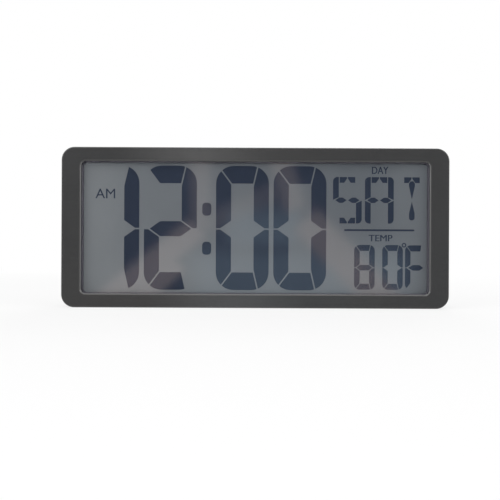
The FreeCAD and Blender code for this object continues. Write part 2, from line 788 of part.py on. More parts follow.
def cover_rooms(body):
    """What stands on the inner side of the back wall."""
    grow(body, "bay_block", f"{BAY_BOTTOM} - bay_floor", f"{WALL_FRONT} - {BAY_BOTTOM} + bay_floor", [
        rounded("-bay_left", "bay_rise", f"{BAY_LENGTH} + 2 * bay_wall", f"{BAY_HEIGHT} + 2 * bay_wall")])
    grow(body, "stand_block", f"{RECESS_FLOOR} - back_wall", f"{WALL_FRONT} - {RECESS_FLOOR} + back_wall", [
        rounded("0", f"({RECESS_TOP} + back_wall) / 2 + case_wall / 2",
                f"{RECESS_WIDTH} + 2 * stand_recess_wall", f"{RECESS_TOP} + back_wall - case_wall")])
    grow(body, "keyhole_boxes", f"{WALL_FRONT} - pocket_depth - pocket_wall",
         "pocket_depth + pocket_wall", keyhole_rooms("pocket_wall"))
    grow(body, "button_bed", PAD_FRONT, f"{WALL_FRONT} - {PAD_FRONT}", [
        rounded("0", BUTTON_Z, "4 * button_pitch + button_width + 2 * (panel_margin + back_wall)",
                "button_height + 2 * (panel_margin + back_wall)")])
    grow(body, "sound_chamber", f"{BOARD_BACK} + buzzer_height + chamber_gap",
         f"{WALL_FRONT} - {BOARD_BACK} - buzzer_height - chamber_gap", [
             rounded("buzzer_right", SOUND_Z, "2 * (grille_radius + chamber_wall)",
                     "2 * (grille_radius + chamber_wall)"),
             rounded("buzzer_right", SOUND_Z, "2 * grille_radius", "2 * grille_radius")])
    grow(body, "posts", "bezel_depth", f"{WALL_FRONT} - bezel_depth",
         squares(CASE_BOSSES, "2 * post_half"))


def cover_ribs(body):
    """Stiffening ribs across the back wall, each side of the stand."""
    inner = f"({RECESS_WIDTH} / 2 + stand_recess_wall)"
    outer = "(case_width / 2 - case_wall - tongue_gap - tongue_thick / 2)"
    length = f"({outer} - {inner} + case_wall)"
    for index, height in enumerate((f"{RECESS_TOP} / 5", f"{RECESS_TOP} + back_wall / 2")):
        grow(body, f"rib_{index}", f"{WALL_FRONT} - rib_depth", "rib_depth", [
            rounded(f"{side} * ({outer} - {length} / 2)", height, length, "rib_thick")
            for side in (-1, 1)])


def cover_stand_recess(body):
    """The bed of the folded stand and the sockets of its pins."""
    carve(body, "stand_bed", RECESS_FLOOR, f"case_depth - {RECESS_FLOOR}", [
        rounded("0", f"({RECESS_TOP} + {RECESS_BOTTOM}) / 2", RECESS_WIDTH,
                f"{RECESS_TOP} - {RECESS_BOTTOM}")])
    reach = f"({RECESS_WIDTH} / 2 + stand_pin_length - stand_side_gap + stand_pin_spare)"
    carve(body, "stand_sockets", f"-{reach}", f"2 * {reach}", [
        disc(STAND_AXIS_S, "stand_axis_rise", "stand_pin_radius + stand_pin_gap")], facing="right")


def cover_battery_bay(body):
    """The bay, its divider, the bed of the door, the hinge groove and the pin sockets."""
    carve(body, "bay", BAY_BOTTOM, f"{DOOR_FRONT} - {BAY_BOTTOM}", [
        rounded("-bay_left", "bay_rise", BAY_LENGTH, BAY_HEIGHT)])
    carve(body, "door_bed", DOOR_FRONT, "door_thick", [
        rounded("-bay_left", "bay_rise", f"{DOOR_WIDTH} + 2 * door_gap",
                f"{DOOR_HEIGHT} + 2 * door_gap")])
    carve(body, "scoop", "case_depth - scoop_sink", "scoop_sink", [
        disc("-bay_left", f"{DOOR_TOP} + door_gap", "scoop_radius")])
    groove = f"({DOOR_WIDTH} + 2 * door_gap)"
    carve(body, "hinge_groove", f"-bay_left - {groove} / 2", groove, [
        disc(DOOR_AXIS_S, DOOR_AXIS_Z, "door_round + door_groove_gap")], facing="right")
    sockets = f"({DOOR_WIDTH} + 2 * door_pin_length + 2 * door_gap)"
    carve(body, "hinge_sockets", f"-bay_left - {sockets} / 2", sockets, [
        disc(DOOR_AXIS_S, DOOR_AXIS_Z, "door_pin_radius + door_pin_gap")], facing="right")
    grow(body, "divider", f"{BAY_BOTTOM} - bay_floor / 2", "cell_radius / 2 + bay_floor / 2", [
        rounded("-bay_left", "bay_rise", f"{BAY_LENGTH} - 12 * contact_thick", "cell_gap / 2")])
    carve(body, "tab_slots", f"{BAY_END} - contact_thick", "bay_wall + 2 * contact_thick", [
        rounded(CELL_S, f"bay_rise + {side} * {CELL_RISE}", "tab_width + 2 * door_gap",
                "contact_thick + 2 * door_gap")
        for side in (-1, 1)], facing="right")


def cover_openings(body):
    """Screw holes, keyholes, button holes, sound holes and air slots."""
    carve(body, "screw_holes", "bezel_depth", f"{SCREW_SEAT} - bezel_depth",
          discs(CASE_BOSSES, "screw_radius + screw_gap"))
    carve(body, "head_holes", SCREW_SEAT, "screw_sink", discs(CASE_BOSSES, "head_radius + head_gap"))
    carve(body, "keyhole_rooms", f"{WALL_FRONT} - pocket_depth", "pocket_depth", keyhole_rooms("0"))
    carve(body, "keyhole_entries", WALL_FRONT, "back_wall", [
        disc(f"{side} * {KEYHOLE_X}", KEYHOLE_Z, "keyhole_radius") for side in (-1, 1)])
    carve(body, "keyhole_slots", WALL_FRONT, "back_wall", [
        slot(f"{side} * {KEYHOLE_X}", f"{KEYHOLE_Z} + keyhole_rise / 2", "keyhole_rise", "keyhole_slot")
        for side in (-1, 1)])
    carve(body, "button_panel", "case_depth - panel_sink", "panel_sink", [
        rounded("0", BUTTON_Z, "4 * button_pitch + button_width + 2 * panel_margin",
                "button_height + 2 * panel_margin", "panel_corner")])
    carve(body, "button_holes", PAD_FRONT, "back_wall", [
        cornered(x, BUTTON_Z, "button_width + 2 * button_gap", "button_height + 2 * button_gap",
                 "button_cut + (2 - sqrt(2)) * button_gap")
        for x in BUTTON_X.values()])
    carve(body, "sound_slots", WALL_FRONT, "back_wall", grille_slots())
    carve(body, "air_slots", WALL_FRONT, "back_wall", [
        rounded(f"-sensor_left + {index} * vent_pitch", SOUND_Z, "vent_width", "vent_length")
        for index in (-1, 0, 1)])


def rear_cover():
    """The moulded rear housing."""
    body = new_body("rear_cover")
    cover_shell(body)
    cover_rooms(body)
    cover_ribs(body)
    cover_stand_recess(body)
    cover_battery_bay(body)
    cover_openings(body)
    return body


# Battery bay contents

def battery_door():
    """The hinged door, with two pins at its lower edge and a spring latch at its upper edge."""
    body = new_body("battery_door")
    grow(body, "panel", DOOR_FRONT, "door_thick", [
        rounded("-bay_left", "bay_rise", DOOR_WIDTH, DOOR_HEIGHT)])
    slits = [
        rounded(f"-bay_left + {side} * (latch_width + latch_slit) / 2", f"{DOOR_TOP} - latch_length / 2",
                "latch_slit", "latch_length")
        for side in (-1, 1)]
    carve(body, "latch_slits", DOOR_FRONT, "door_thick", slits)
    dress(body, "Fillet", "outer_round", "door_round", lambda edge: (
        near(edge.BoundBox.ZMax, DOOR_BOTTOM) and flat_at(edge, "case_depth")))
    dress(body, "Fillet", "inner_round", "(door_thick - door_round) * 0.9", lambda edge: (
        near(edge.BoundBox.ZMax, DOOR_BOTTOM) and flat_at(edge, DOOR_FRONT)))
    pins = f"({DOOR_WIDTH} + 2 * door_pin_length)"
    grow(body, "pins", f"-bay_left - {pins} / 2", pins, [
        disc(DOOR_AXIS_S, DOOR_AXIS_Z, "door_pin_radius")], facing="right")
    return body


def battery_cells():
    """Two size AA cells, laid opposite ways."""
    body = new_body("battery_cells")
    low = f"({BAY_START} + contact_thick + contact_gap / 2 + spring_length)"
    high = f"({BAY_START} + contact_thick + contact_gap / 2 + nub_height)"
    upper, lower = (f"bay_rise + {side} * {CELL_RISE}" for side in (1, -1))
    grow(body, "upper_can", low, "cell_length", [disc(CELL_S, upper, "cell_radius")], facing="right")
    grow(body, "upper_nub", low, "cell_length + nub_height", [disc(CELL_S, upper, "nub_radius")],
         facing="right")
    grow(body, "lower_can", high, "cell_length", [disc(CELL_S, lower, "cell_radius")], facing="right")
    grow(body, "lower_nub", f"{high} - nub_height", "cell_length + nub_height", [
        disc(CELL_S, lower, "nub_radius")], facing="right")
    return body


def link_contact():
    """The plate that joins the two cells at the bay's outer end."""
    body = new_body("link_contact")
    grow(body, "plate", BAY_START, "contact_thick", [
        rounded(CELL_S, "bay_rise", "2 * contact_half", f"2 * ({CELL_RISE} + contact_half)")],
        facing="right")
    return body


def end_contact(label, side):
    """One plate at the bay's inner end, with the tab that passes through the wall."""
    body = new_body(label)
    height = f"bay_rise + {side} * {CELL_RISE}"
    grow(body, "plate", f"{BAY_END} - contact_thick", "contact_thick", [
        rounded(CELL_S, height, "2 * contact_half", "2 * contact_half")], facing="right")
    grow(body, "tab", f"{BAY_END} - contact_thick", "contact_thick + bay_wall + tab_proud", [
        rounded(CELL_S, height, "tab_width", "contact_thick")], facing="right")
    return body


def half_ring(x, y, radius, thick, side):
    """Half a ring that bows out from the point x, y to one side of it."""
    def draw(sketch):
        first = sketch.GeometryCount
        centre = FreeCAD.Vector(number(x), number(y), 0)
        outer, inner = number(radius), number(radius) - number(thick)
        start = -side * math.pi / 2
        axis = FreeCAD.Vector(0, 0, 1)
        up = FreeCAD.Vector(0, 1, 0) * side
        sketch.addGeometry([
            Part.ArcOfCircle(Part.Circle(centre, axis, outer), start, start + math.pi),
            Part.LineSegment(centre + up * outer, centre + up * inner),
            Part.ArcOfCircle(Part.Circle(centre, axis, inner), start, start + math.pi),
            Part.LineSegment(centre - up * inner, centre - up * outer)], False)
        big, top, small, low = range(first, first + 4)
        sketch.addConstraint([
            Sketcher.Constraint("Coincident", big, 3, small, 3),
            Sketcher.Constraint("Coincident", big, 2, top, 1),
            Sketcher.Constraint("Coincident", top, 2, small, 2),
            Sketcher.Constraint("Coincident", small, 1, low, 1),
            Sketcher.Constraint("Coincident", low, 2, big, 1),
            Sketcher.Constraint("Vertical", big, 3, big, 1),
            Sketcher.Constraint("Vertical", big, 3, big, 2),
            Sketcher.Constraint("Vertical", small, 3, small, 1),
            Sketcher.Constraint("Vertical", small, 3, small, 2)])
        dimension(sketch, "Radius", (big,), radius)
        dimension(sketch, "Radius", (small,), f"{radius} - {thick}")
        dimension(sketch, "DistanceX", (-1, 1, big, 3), x)
        dimension(sketch, "DistanceY", (-1, 1, big, 3), y)
    return draw


def battery_springs():
    """The bowed leaf springs that press on the flat end of each cell."""
    body = new_body("battery_springs")
    places = ((f"{BAY_START} + contact_thick", 1), (f"{BAY_END} - contact_thick", -1))
    for name, (base, side) in zip(("outer", "inner"), places):
        middle = f"(bay_rise + {side} * {CELL_RISE})"
        grow(body, name, f"{middle} - spring_width / 2", "spring_width", [
            half_ring(base, CELL_S, "spring_length", "spring_thick", side)], facing="up")
    return body


def tube(path, way, start, radius):
    """A square wire along a path of edges."""
    across = way.cross(FreeCAD.Vector(0, 1, 0)).normalize()
    up = way.cross(across)
    turns = [(index + 0.5) * math.pi / 2 for index in range(5)]
    corners = [start + (across * math.cos(turn) + up * math.sin(turn)) * radius for turn in turns]
    return Part.Wire(path).makePipeShell([Part.makePolygon(corners)], True, False)


def loose_part(label, shape):
    """A piece whose shape is made directly, in the same frame as the bodies."""
    piece = doc.addObject("Part::Feature", label)
    piece.Label = label
    piece.Shape = shape
    piece.Placement = FreeCAD.Placement(
        FreeCAD.Vector(0, -number("case_depth") / 2, 0), FreeCAD.Rotation())
    return piece


def battery_lead(label, side):
    """The wire from one contact's tab up to the board."""
    start = FreeCAD.Vector(
        number(f"{BAY_END} + bay_wall + tab_proud"), number(CELL_S),
        number(f"bay_rise + {side} * {CELL_RISE}"))
    across = number("lead_run") + (1 - side) / 2 * number("lead_spread")
    top = number(f"{BOARD_TOP} - board_height + board_edge")
    forward = number(BOARD_BACK)
    corner = start + FreeCAD.Vector(across, 0, 0)
    turn = FreeCAD.Vector(corner.x, corner.y, top)
    end = FreeCAD.Vector(corner.x, forward, top)
    radius = number("lead_radius")
    bend = number("lead_bend")
    points = [start, corner, turn, end]
    path = []
    here = start
    for before, at, after in zip(points, points[1:], points[2:]):
        into = (at - before).normalize()
        out = (after - at).normalize()
        first = at - into * bend
        last = at + out * bend
        centre = at - into * bend + out * bend
        middle = centre + (at - centre).normalize() * bend
        path.append(Part.LineSegment(here, first).toShape())
        path.append(Part.Arc(first, middle, last).toShape())
        here = last
    path.append(Part.LineSegment(here, end).toShape())
    return loose_part(label, tube(path, (corner - start).normalize(), start, radius))


# Stand

def stand_leg():
    """The fold-out leg: plate, barrel, pins and the tail that stops it when open."""
    body = new_body("stand_leg")
    bottom = f"({STAND_TIP} + foot_height)"
    grow(body, "plate", STAND_FRONT, "stand_thick", [
        rounded("0", f"({bottom} + stand_axis_rise) / 2", "stand_width", f"stand_axis_rise - {bottom}")])
    grow(body, "barrel", "-stand_width / 2", "stand_width", [
        disc(STAND_AXIS_S, "stand_axis_rise", "stand_thick / 2")], facing="right")
    grow(body, "tail", STAND_AXIS_S, "stand_thick / 2", [
        rounded("0", f"stand_axis_rise + {STAND_TAIL} / 2", "stand_width", STAND_TAIL)])
    reach = "(stand_width / 2 + stand_pin_length)"
    grow(body, "pins", f"-{reach}", f"2 * {reach}", [
        disc(STAND_AXIS_S, "stand_axis_rise", "stand_pin_radius")], facing="right")
    carve(body, "finger_notch", STAND_FRONT, "stand_thick", [
        rounded("0", bottom, "notch_width", "2 * notch_height", "notch_corner")])
    low = f"({bottom} + notch_height + stand_rib)"
    high = "(stand_axis_rise - stand_thick)"
    cell_width = f"((stand_width - {RIBS_ACROSS + 1} * stand_rib) / {RIBS_ACROSS})"
    cell_height = f"(({high} - {low} - stand_rib) / 2)"
    cells = [
        rounded(f"{column} * ({cell_width} + stand_rib)",
                f"{low} + {cell_height} / 2 + {row} * ({cell_height} + stand_rib)",
                cell_width, cell_height)
        for column in (-1, 0, 1) for row in (0, 1)]
    carve(body, "cells", STAND_FRONT, "stand_thick - stand_skin", cells)
    return body


def stand_feet():
    """Two rubber caps on the leg's lower edge, each side of the finger notch."""
    body = new_body("stand_feet")
    width = "((stand_width - notch_width) / 2 - stand_side_gap)"
    grow(body, "caps", STAND_FRONT, "stand_thick", [
        rounded(f"{side} * (stand_width / 2 - {width} / 2)", f"{STAND_TIP} + foot_height / 2", width,
                "foot_height")
        for side in (-1, 1)])
    dress(body, "Chamfer", "edges", "foot_height / 3", lambda edge: (
        near(edge.BoundBox.ZMax, STAND_TIP) and edge.BoundBox.XLength > number("stand_width") / 8))
    return body


parts = [
    front_bezel(),
    display_lens(),
    lens_tape(),
    lcd_spacer(),
    display_layer("front_polariser", POLARISER_FRONT, "polariser_thick"),
    display_layer("front_glass", GLASS_FRONT, "glass_thick"),
    display_layer("rear_glass", GLASS_MIDDLE, "glass_thick", "glass_ledge"),
    display_layer("reflector", REFLECTOR_FRONT, "reflector_thick", "glass_ledge"),
    contact_strips(),
    support_plate(),
    main_board(),
    controller_chip(),
    clock_crystal(),
    board_capacitors(),
    buzzer(),
    temperature_sensor(),
    button_switches(),
    *[button_plunger(name) for name in BUTTONS],
    *[push_button(name) for name in BUTTONS],
    rear_cover(),
    case_screws(),
    battery_door(),
    battery_cells(),
    link_contact(),
    end_contact("positive_contact", 1),
    end_contact("negative_contact", -1),
    battery_springs(),
    battery_lead("positive_lead", 1),
    battery_lead("negative_lead", -1),
    stand_leg(),
    stand_feet(),
]
doc.recompute()

# Checks, then one file for each piece

for item in doc.Objects:
    if {"Invalid", "Error"} & set(item.State):
        raise ValueError(f"{item.Label} failed: {item.State}")
    if item.isDerivedFrom("PartDesign::Pocket"):
        if not item.Shape.Volume < item.BaseFeature.Shape.Volume:
            raise ValueError(f"{item.Label} cuts nothing")
for part in parts:
    if part.Shape.isNull() or not part.Shape.isValid():
        raise ValueError(f"{part.Label} has no valid shape")

os.makedirs("parts", exist_ok=True)
for part in parts:
    part.Shape.exportStep(f"parts/{part.Label}.step")
print(f"{len(parts)} pieces written")
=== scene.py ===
# %% [markdown]
# # A large-digit day clock
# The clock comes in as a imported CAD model, in metres, with its front towards -Y and its foot at Z = 0.
# Its housing, lens, keys, stand and battery bay already have their shapes. This lesson adds what a
# solid model can't say: the characters on the display, the symbols on the keys, every finish, the
# light and the camera.

# %% Load the CAD model
import math

import bmesh
import bpy
from mathutils import Matrix, Vector


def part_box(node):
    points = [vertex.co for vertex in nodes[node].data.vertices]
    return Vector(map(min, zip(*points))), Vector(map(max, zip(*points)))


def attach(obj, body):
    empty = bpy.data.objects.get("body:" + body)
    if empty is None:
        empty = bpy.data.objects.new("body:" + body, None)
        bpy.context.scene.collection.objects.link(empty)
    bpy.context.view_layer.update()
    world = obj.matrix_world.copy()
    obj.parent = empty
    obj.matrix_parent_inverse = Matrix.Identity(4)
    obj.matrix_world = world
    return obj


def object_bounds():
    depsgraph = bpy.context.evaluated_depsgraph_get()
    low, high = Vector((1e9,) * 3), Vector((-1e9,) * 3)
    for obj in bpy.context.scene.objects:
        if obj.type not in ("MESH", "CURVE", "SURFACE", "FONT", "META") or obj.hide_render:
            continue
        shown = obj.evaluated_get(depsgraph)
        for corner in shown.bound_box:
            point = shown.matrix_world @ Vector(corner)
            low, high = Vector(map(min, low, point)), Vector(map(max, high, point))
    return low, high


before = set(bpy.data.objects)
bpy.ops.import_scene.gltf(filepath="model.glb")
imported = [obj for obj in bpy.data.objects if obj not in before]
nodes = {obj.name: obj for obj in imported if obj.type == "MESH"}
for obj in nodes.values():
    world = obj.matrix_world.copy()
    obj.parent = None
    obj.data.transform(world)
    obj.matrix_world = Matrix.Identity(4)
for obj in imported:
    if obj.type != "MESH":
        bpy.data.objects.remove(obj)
cad_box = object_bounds()


def in_mm(box):
    """The two corners of a box from the frame, in millimetres."""
    return [1000 * corner for corner in box]


def rounded(box):
    """A box from the frame as short numbers to print, in millimetres."""
    return [[round(side, 2) for side in corner] for corner in in_mm(box)]


print("pieces from CAD:", len(nodes))
print("CAD box, mm:", rounded(cad_box))

# %% [markdown]
# ## Shader maths as plain expressions
# A material is a graph of nodes, and wiring one by hand hides the idea behind it. Three small classes
# keep the idea in view. A `Field` is what a node puts out, such as a value that changes over a surface,
# and + - * ** on fields add the Math nodes. A `Graph` is a tree of nodes, and its `node` method makes
# every other kind of node. A `Finish` is the graph of one material, with the textures that several
# finishes share.

# %% Fields


class Field:
    """A number, vector, colour or shader that a node puts out."""

    def __init__(self, graph, socket):
        self.graph = graph
        self.socket = socket

    def maths(self, operation, other=0.0):
        """This field and another one, or a number, through a Math node."""
        return self.graph.node("Math", {"operation": operation}, {0: self, 1: other})

    def larger(self, other):
        return self.maths("MAXIMUM", other)

    def __add__(self, other):
        return self.maths("ADD", other)

    def __sub__(self, other):
        return self.maths("SUBTRACT", other)

    def __rsub__(self, other):
        return self.graph.node("Math", {"operation": "SUBTRACT"}, {0: other, 1: self})

    def __mul__(self, other):
        return self.maths("MULTIPLY", other)

    def __pow__(self, other):
        return self.maths("POWER", other)

    def __lt__(self, other):
        return self.maths("LESS_THAN", other)

    def __gt__(self, other):
        return self.maths("GREATER_THAN", other)

    def __abs__(self):
        return self.maths("ABSOLUTE")

    __radd__ = __add__
    __rmul__ = __mul__


# %% Graphs and finishes


class Graph:
    """The nodes of a material or of the world."""

    def __init__(self, owner, output):
        owner.use_nodes = True
        self.tree = owner.node_tree
        self.tree.nodes.clear()
        self.output = self.tree.nodes.new("ShaderNode" + output)

    def node(self, kind, settings=None, sockets=None, out=0):
        """A node of one kind: its settings first, then values or links for its sockets."""
        made = self.tree.nodes.new("ShaderNode" + kind)
        for name, value in (settings or {}).items():
            setattr(made, name, value)
        for name, value in (sockets or {}).items():
            if isinstance(value, Field):
                self.tree.links.new(value.socket, made.inputs[name])
            else:
                made.inputs[name].default_value = value
        return Field(self, made.outputs[out])

    def fade(self, value, start, end, low=0.0, high=1.0, kind="SMOOTHSTEP"):
        """Low to high as value goes from start to end, and level beyond them."""
        return self.node("MapRange", {"interpolation_type": kind}, {
            "Value": value, "From Min": start, "From Max": end, "To Min": low, "To Max": high})

    def use(self, shader):
        """Lead a shader to the output."""
        self.tree.links.new(shader.socket, self.output.inputs["Surface"])


class Finish(Graph):
    """One material and the textures it is made from."""

    def __init__(self, name):
        self.material = bpy.data.materials.new(name)
        super().__init__(self.material, "OutputMaterial")

    def place(self):
        """Object coordinates, in metres."""
        return self.node("TexCoord", out="Object")

    def axes(self):
        """The three object coordinates, each as a field, in millimetres."""
        split = self.node("SeparateXYZ", None, {0: self.place()})
        return [Field(self, output) * 1000 for output in split.socket.node.outputs]

    def noise(self, size, detail=2.0, stretch=(1, 1, 1)):
        """Cloudy noise from 0 to 1, with lumps about size millimetres wide."""
        spread = self.node("Mapping", None, {"Vector": self.place(), "Scale": stretch})
        return self.node("TexNoise", None, {
            "Vector": spread, "Scale": 1000 / size, "Detail": detail})

    def pits(self, size):
        """Small rounded pits, about size millimetres apart."""
        return self.node("TexVoronoi", {"feature": "SMOOTH_F1"}, {
            "Vector": self.place(), "Scale": 1000 / size, "Smoothness": 0.6})

    def blend(self, amount, first, second):
        """One colour turning into another as amount goes from 0 to 1."""
        return self.node("Mix", {"data_type": "RGBA"}, {0: amount, 6: first, 7: second}, out=2)

    def surface(self, colour, roughness, metal=0.0, height=None, depth=0.0, **uniform):
        """The finish's shader, with an optional relief of depth millimetres."""
        sockets = {"Base Color": colour, "Roughness": roughness, "Metallic": metal, **uniform}
        if height is not None:
            sockets["Normal"] = self.node("Bump", None, {
                "Height": height, "Strength": 1.0, "Distance": depth / 1000})
        self.use(self.node("BsdfPrincipled", None, sockets))


# %% Colours
WHITE = (1.0, 1.0, 1.0, 1.0)


def shade(red, green, blue):
    """A screen colour, 0 to 255, as the linear colour that shaders use."""
    def linear(level):
        level = level / 255
        return level / 12.92 if level <= 0.04045 else ((level + 0.055) / 1.055) ** 2.4
    return (linear(red), linear(green), linear(blue), 1.0)


def grey(level):
    return shade(level, level, level)


def dimmed(colour, share):
    """The same colour with only a share of its light."""
    return tuple(part * share for part in colour[:3]) + (1.0,)


print("a dark grey in linear light:", round(grey(62)[0], 3))

# %% [markdown]
# ## The front moulding's plastic
# The face is a satin dark grey with a faint brushed, cloudy look, not a flat black. Three layers make
# it: slow clouds in the colour, short horizontal hairlines, and a grain too fine to see that only
# softens the gloss. The hairlines are noise stretched along X by a Mapping node. A slow pale streak of
# painted sheen runs down the face left of its middle. The bevel round the window has a painted
# highlight, palest at its sides, and painted shade on top, as dark as the face; comparisons on the place
# find it.

# %% Bezel plastic
FACE = cad_box[0].y * 1000
BEVEL = {"front": 0.75, "back": 1.3, "middle": 74, "half_width": 164.5, "half_height": 64}
BEVEL_SIDE, BEVEL_TOP = 161, 135
# The streak below is a painted sheen: a pale band down the face, left of its middle.
SHEEN_STREAK = {"left": 24, "lean": 0.25, "half": 85}


def bezel_finish():
    finish = Finish("bezel_plastic")
    clouds = finish.noise(26, detail=4)
    hairlines = finish.noise(0.9, stretch=(0.06, 1, 1))
    grain = finish.noise(0.35)
    x, y, z = finish.axes()
    depths = (y > FACE + BEVEL["front"]) * (y < FACE + BEVEL["back"])
    heights = abs(z - BEVEL["middle"]) < BEVEL["half_height"]
    bevel = depths * heights * (abs(x) < BEVEL["half_width"])
    # Painted highlight on the window's bevel, palest at its sides, with painted shade on its top edge.
    sides = finish.blend(abs(x) > BEVEL_SIDE, grey(92), grey(112))
    bevel_highlight = finish.blend(z > BEVEL_TOP, sides, grey(56))
    # Painted sheen: a pale streak that crosses the face left of its middle lightens both tones.
    painted_sheen = finish.fade(abs(x + z * SHEEN_STREAK["lean"] + SHEEN_STREAK["left"]), SHEEN_STREAK["half"], 0)
    dark = finish.blend(painted_sheen, grey(50), grey(66))
    light = finish.blend(painted_sheen, grey(62), grey(78))
    plain = finish.blend(clouds * 0.5 + hairlines * 0.5, dark, light)
    colour = finish.blend(bevel, plain, bevel_highlight)
    finish.surface(colour, 0.2 + grain * 0.12, height=grain * 0.6 + hairlines * 0.4, depth=0.02)
    return finish


bezel = bezel_finish()
print("bezel nodes:", len(bezel.tree.nodes))

# %% [markdown]
# ## Moulded, textured plastics
# The rear cover, stand and door come from a spark-eroded mould, which leaves fine rounded pits. A
# Voronoi texture gives the pits and noise breaks up their pattern. One recipe makes all the moulded
# parts, so that they look like one family and differ only in colour, pit size and gloss.

# %% Moulded plastic recipe
REAR_TONES = (shade(34, 34, 35), shade(46, 46, 47))


def mottled(finish, dark, light):
    """The uneven colour of a moulding, and the fine specks in it."""
    clouds = finish.noise(18, detail=3)
    specks = finish.noise(0.5)
    return finish.blend(clouds * 0.6 + specks * 0.4, dark, light), specks


def moulded(name, dark, light, roughness, pit=0.7, depth=0.03):
    """A moulded plastic or rubber with pits of pit millimetres."""
    finish = Finish(name)
    colour, specks = mottled(finish, dark, light)
    relief = finish.pits(pit) + specks * 0.3
    finish.surface(colour, roughness + specks * 0.12, height=relief, depth=depth)
    return finish


rear = moulded("rear_plastic", *REAR_TONES, 0.5)
stand = moulded("stand_plastic", shade(38, 38, 39), shade(50, 50, 51), 0.44, pit=0.6)
keys = moulded("key_plastic", shade(58, 59, 61), shade(72, 73, 75), 0.36, pit=0.35, depth=0.01)
inner = moulded("inner_plastic", shade(196, 195, 188), shade(214, 213, 207), 0.5, pit=1.1)
switch = moulded("switch_plastic", shade(28, 28, 29), shade(40, 40, 41), 0.4, pit=0.3, depth=0.01)
plunger = moulded("plunger_plastic", shade(150, 60, 50), shade(170, 74, 62), 0.35, pit=0.3, depth=0.01)
foot = moulded("foot_rubber", shade(24, 24, 25), shade(36, 36, 37), 0.72, pit=0.5)
strip = moulded("strip_rubber", shade(186, 158, 162), shade(204, 178, 180), 0.6, pit=0.4, depth=0.01)
print("nodes of one moulded finish:", len(rear.tree.nodes))

# %% [markdown]
# ## The battery door
# The door is the same plastic with an arrow and grip lines pressed into it. They are shallow, so a
# bump is enough, and the door keeps its CAD shape. A painted sheen makes them a little paler than the
# textured plastic round them. Comparisons on the object coordinates cut the arrow: a point lies in it
# where its distance from the middle is less than its depth below the tip.

# %% Door plastic with its pressed arrow and grip lines
ARROW = {"below_edge": 11, "height": 4}
GRIP = {"half_width": 11, "start": 6.5, "end": 13.5, "pitch": 1.75}


def door_finish():
    low, high = in_mm(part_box("battery_door"))
    middle = (low.x + high.x) / 2
    tip = high.z - ARROW["below_edge"]
    finish = Finish("door_plastic")
    x, _, z = finish.axes()
    aside = abs(x - middle)
    arrow = (aside < (tip - z)) * (z > tip - ARROW["height"])
    rows = (z < tip - GRIP["start"]) * (z > tip - GRIP["end"])
    waves = ((z - tip) * (2 * math.pi / GRIP["pitch"])).maths("SINE")
    pressed = arrow + rows * (aside < GRIP["half_width"]) * (waves > 0)
    tone, specks = mottled(finish, *REAR_TONES)
    # Painted sheen: the pressed marks are painted paler than the plastic round them.
    colour = finish.blend(pressed * 0.6, tone, shade(88, 88, 89))
    relief = finish.pits(0.7) * 0.06 + pressed * -0.5
    finish.surface(colour, 0.5 + specks * 0.12, height=relief, depth=0.5)
    return finish


door = door_finish()
print("door arrow's tip,", ARROW["below_edge"], "mm below the latch edge")

# %% [markdown]
# ## The display's layers
# Behind the lens lie a matt grey spacer and the front polariser. A reflective display has no
# lamp: its grey is the reflector seen through two polarisers, a little blue and never quite even. A
# painted shade darkens it towards the right, and it is darkest in the upper middle: `RIM` and `FOOT`
# are the stretches, in millimetres, over which painted light pales it towards the sides and the foot.
# The polariser also gets slow clouds and a very fine sparkle, as an anti-glare film has.

# %% Display finishes
ANTI_GLARE = {"Specular IOR Level": 0.08}
GROUND_TONES = (shade(95, 100, 106), shade(124, 128, 131))
INK_TONES = (shade(41, 49, 64), shade(49, 56, 71))
# Painted shade falls off to the right over FALL_OFF mm either side of the middle; painted light pales
# the sides over RIM and the foot over FOOT.
FALL_OFF = 150
RIM = (98, 152)
FOOT = (92, 20)


def polariser_finish():
    finish = Finish("polariser_film")
    x, _, z = finish.axes()
    clouds = finish.noise(70)
    sparkle = finish.noise(0.45)
    # Painted shade: darker towards the right. Painted light: paler towards the sides and the foot.
    painted_falloff = finish.fade(x, -FALL_OFF, FALL_OFF, low=1.0, high=0.0, kind="LINEAR")
    lit = finish.fade(abs(x), *RIM).larger(finish.fade(z, *FOOT, high=1.3))
    tone = painted_falloff * 0.53 + lit * 0.35 + clouds * 0.09 + sparkle * 0.04
    colour = finish.blend(tone, *GROUND_TONES)
    finish.surface(colour, 0.42 + sparkle * 0.1, height=sparkle, depth=0.004, **ANTI_GLARE)
    return finish


def segment_finish():
    finish = Finish("display_segment")
    clouds = finish.noise(40)
    finish.surface(finish.blend(clouds, *INK_TONES), 0.4 + clouds * 0.08, **ANTI_GLARE)
    return finish


def layer_finish(name, colour, roughness, metal=0.0):
    """A thin inner layer: one colour with a slow drift in it."""
    finish = Finish(name)
    drift = finish.noise(30)
    drifting = finish.blend(drift, dimmed(colour, 0.8), colour)
    finish.surface(drifting, roughness + drift * 0.06, metal)
    return finish


polariser = polariser_finish()
segment = segment_finish()
spacer = moulded("spacer_grey", shade(88, 87, 95), shade(100, 98, 107), 0.6, pit=0.5, depth=0.01)
tape = layer_finish("tape_black", shade(18, 18, 19), 0.7)
glass = layer_finish("display_glass", shade(150, 162, 160), 0.08)
reflector = layer_finish("reflector_film", shade(176, 178, 176), 0.3, 0.6)
print("display ground in linear light:", [round(part, 3) for part in GROUND_TONES[0]])

# %% [markdown]
# ## The clear lens
# A sheet of acrylic shows what is behind it and mirrors about a twenty-fifth of what is in front at
# each face. Real refraction would keep the lamps from reaching the display, so the sheet lets light
# straight through and adds a faint mirror. Schlick's rule gives the mirror's share: it starts at 0.04
# and grows with the fifth power of the slant, and it is the same from either side of the sheet.

# %% Lens acrylic
LENS_TINT = (0.985, 0.985, 0.985, 1.0)
MIRROR_TINT = (0.8, 0.8, 0.8, 1.0)
LEAST_MIRROR = 0.04


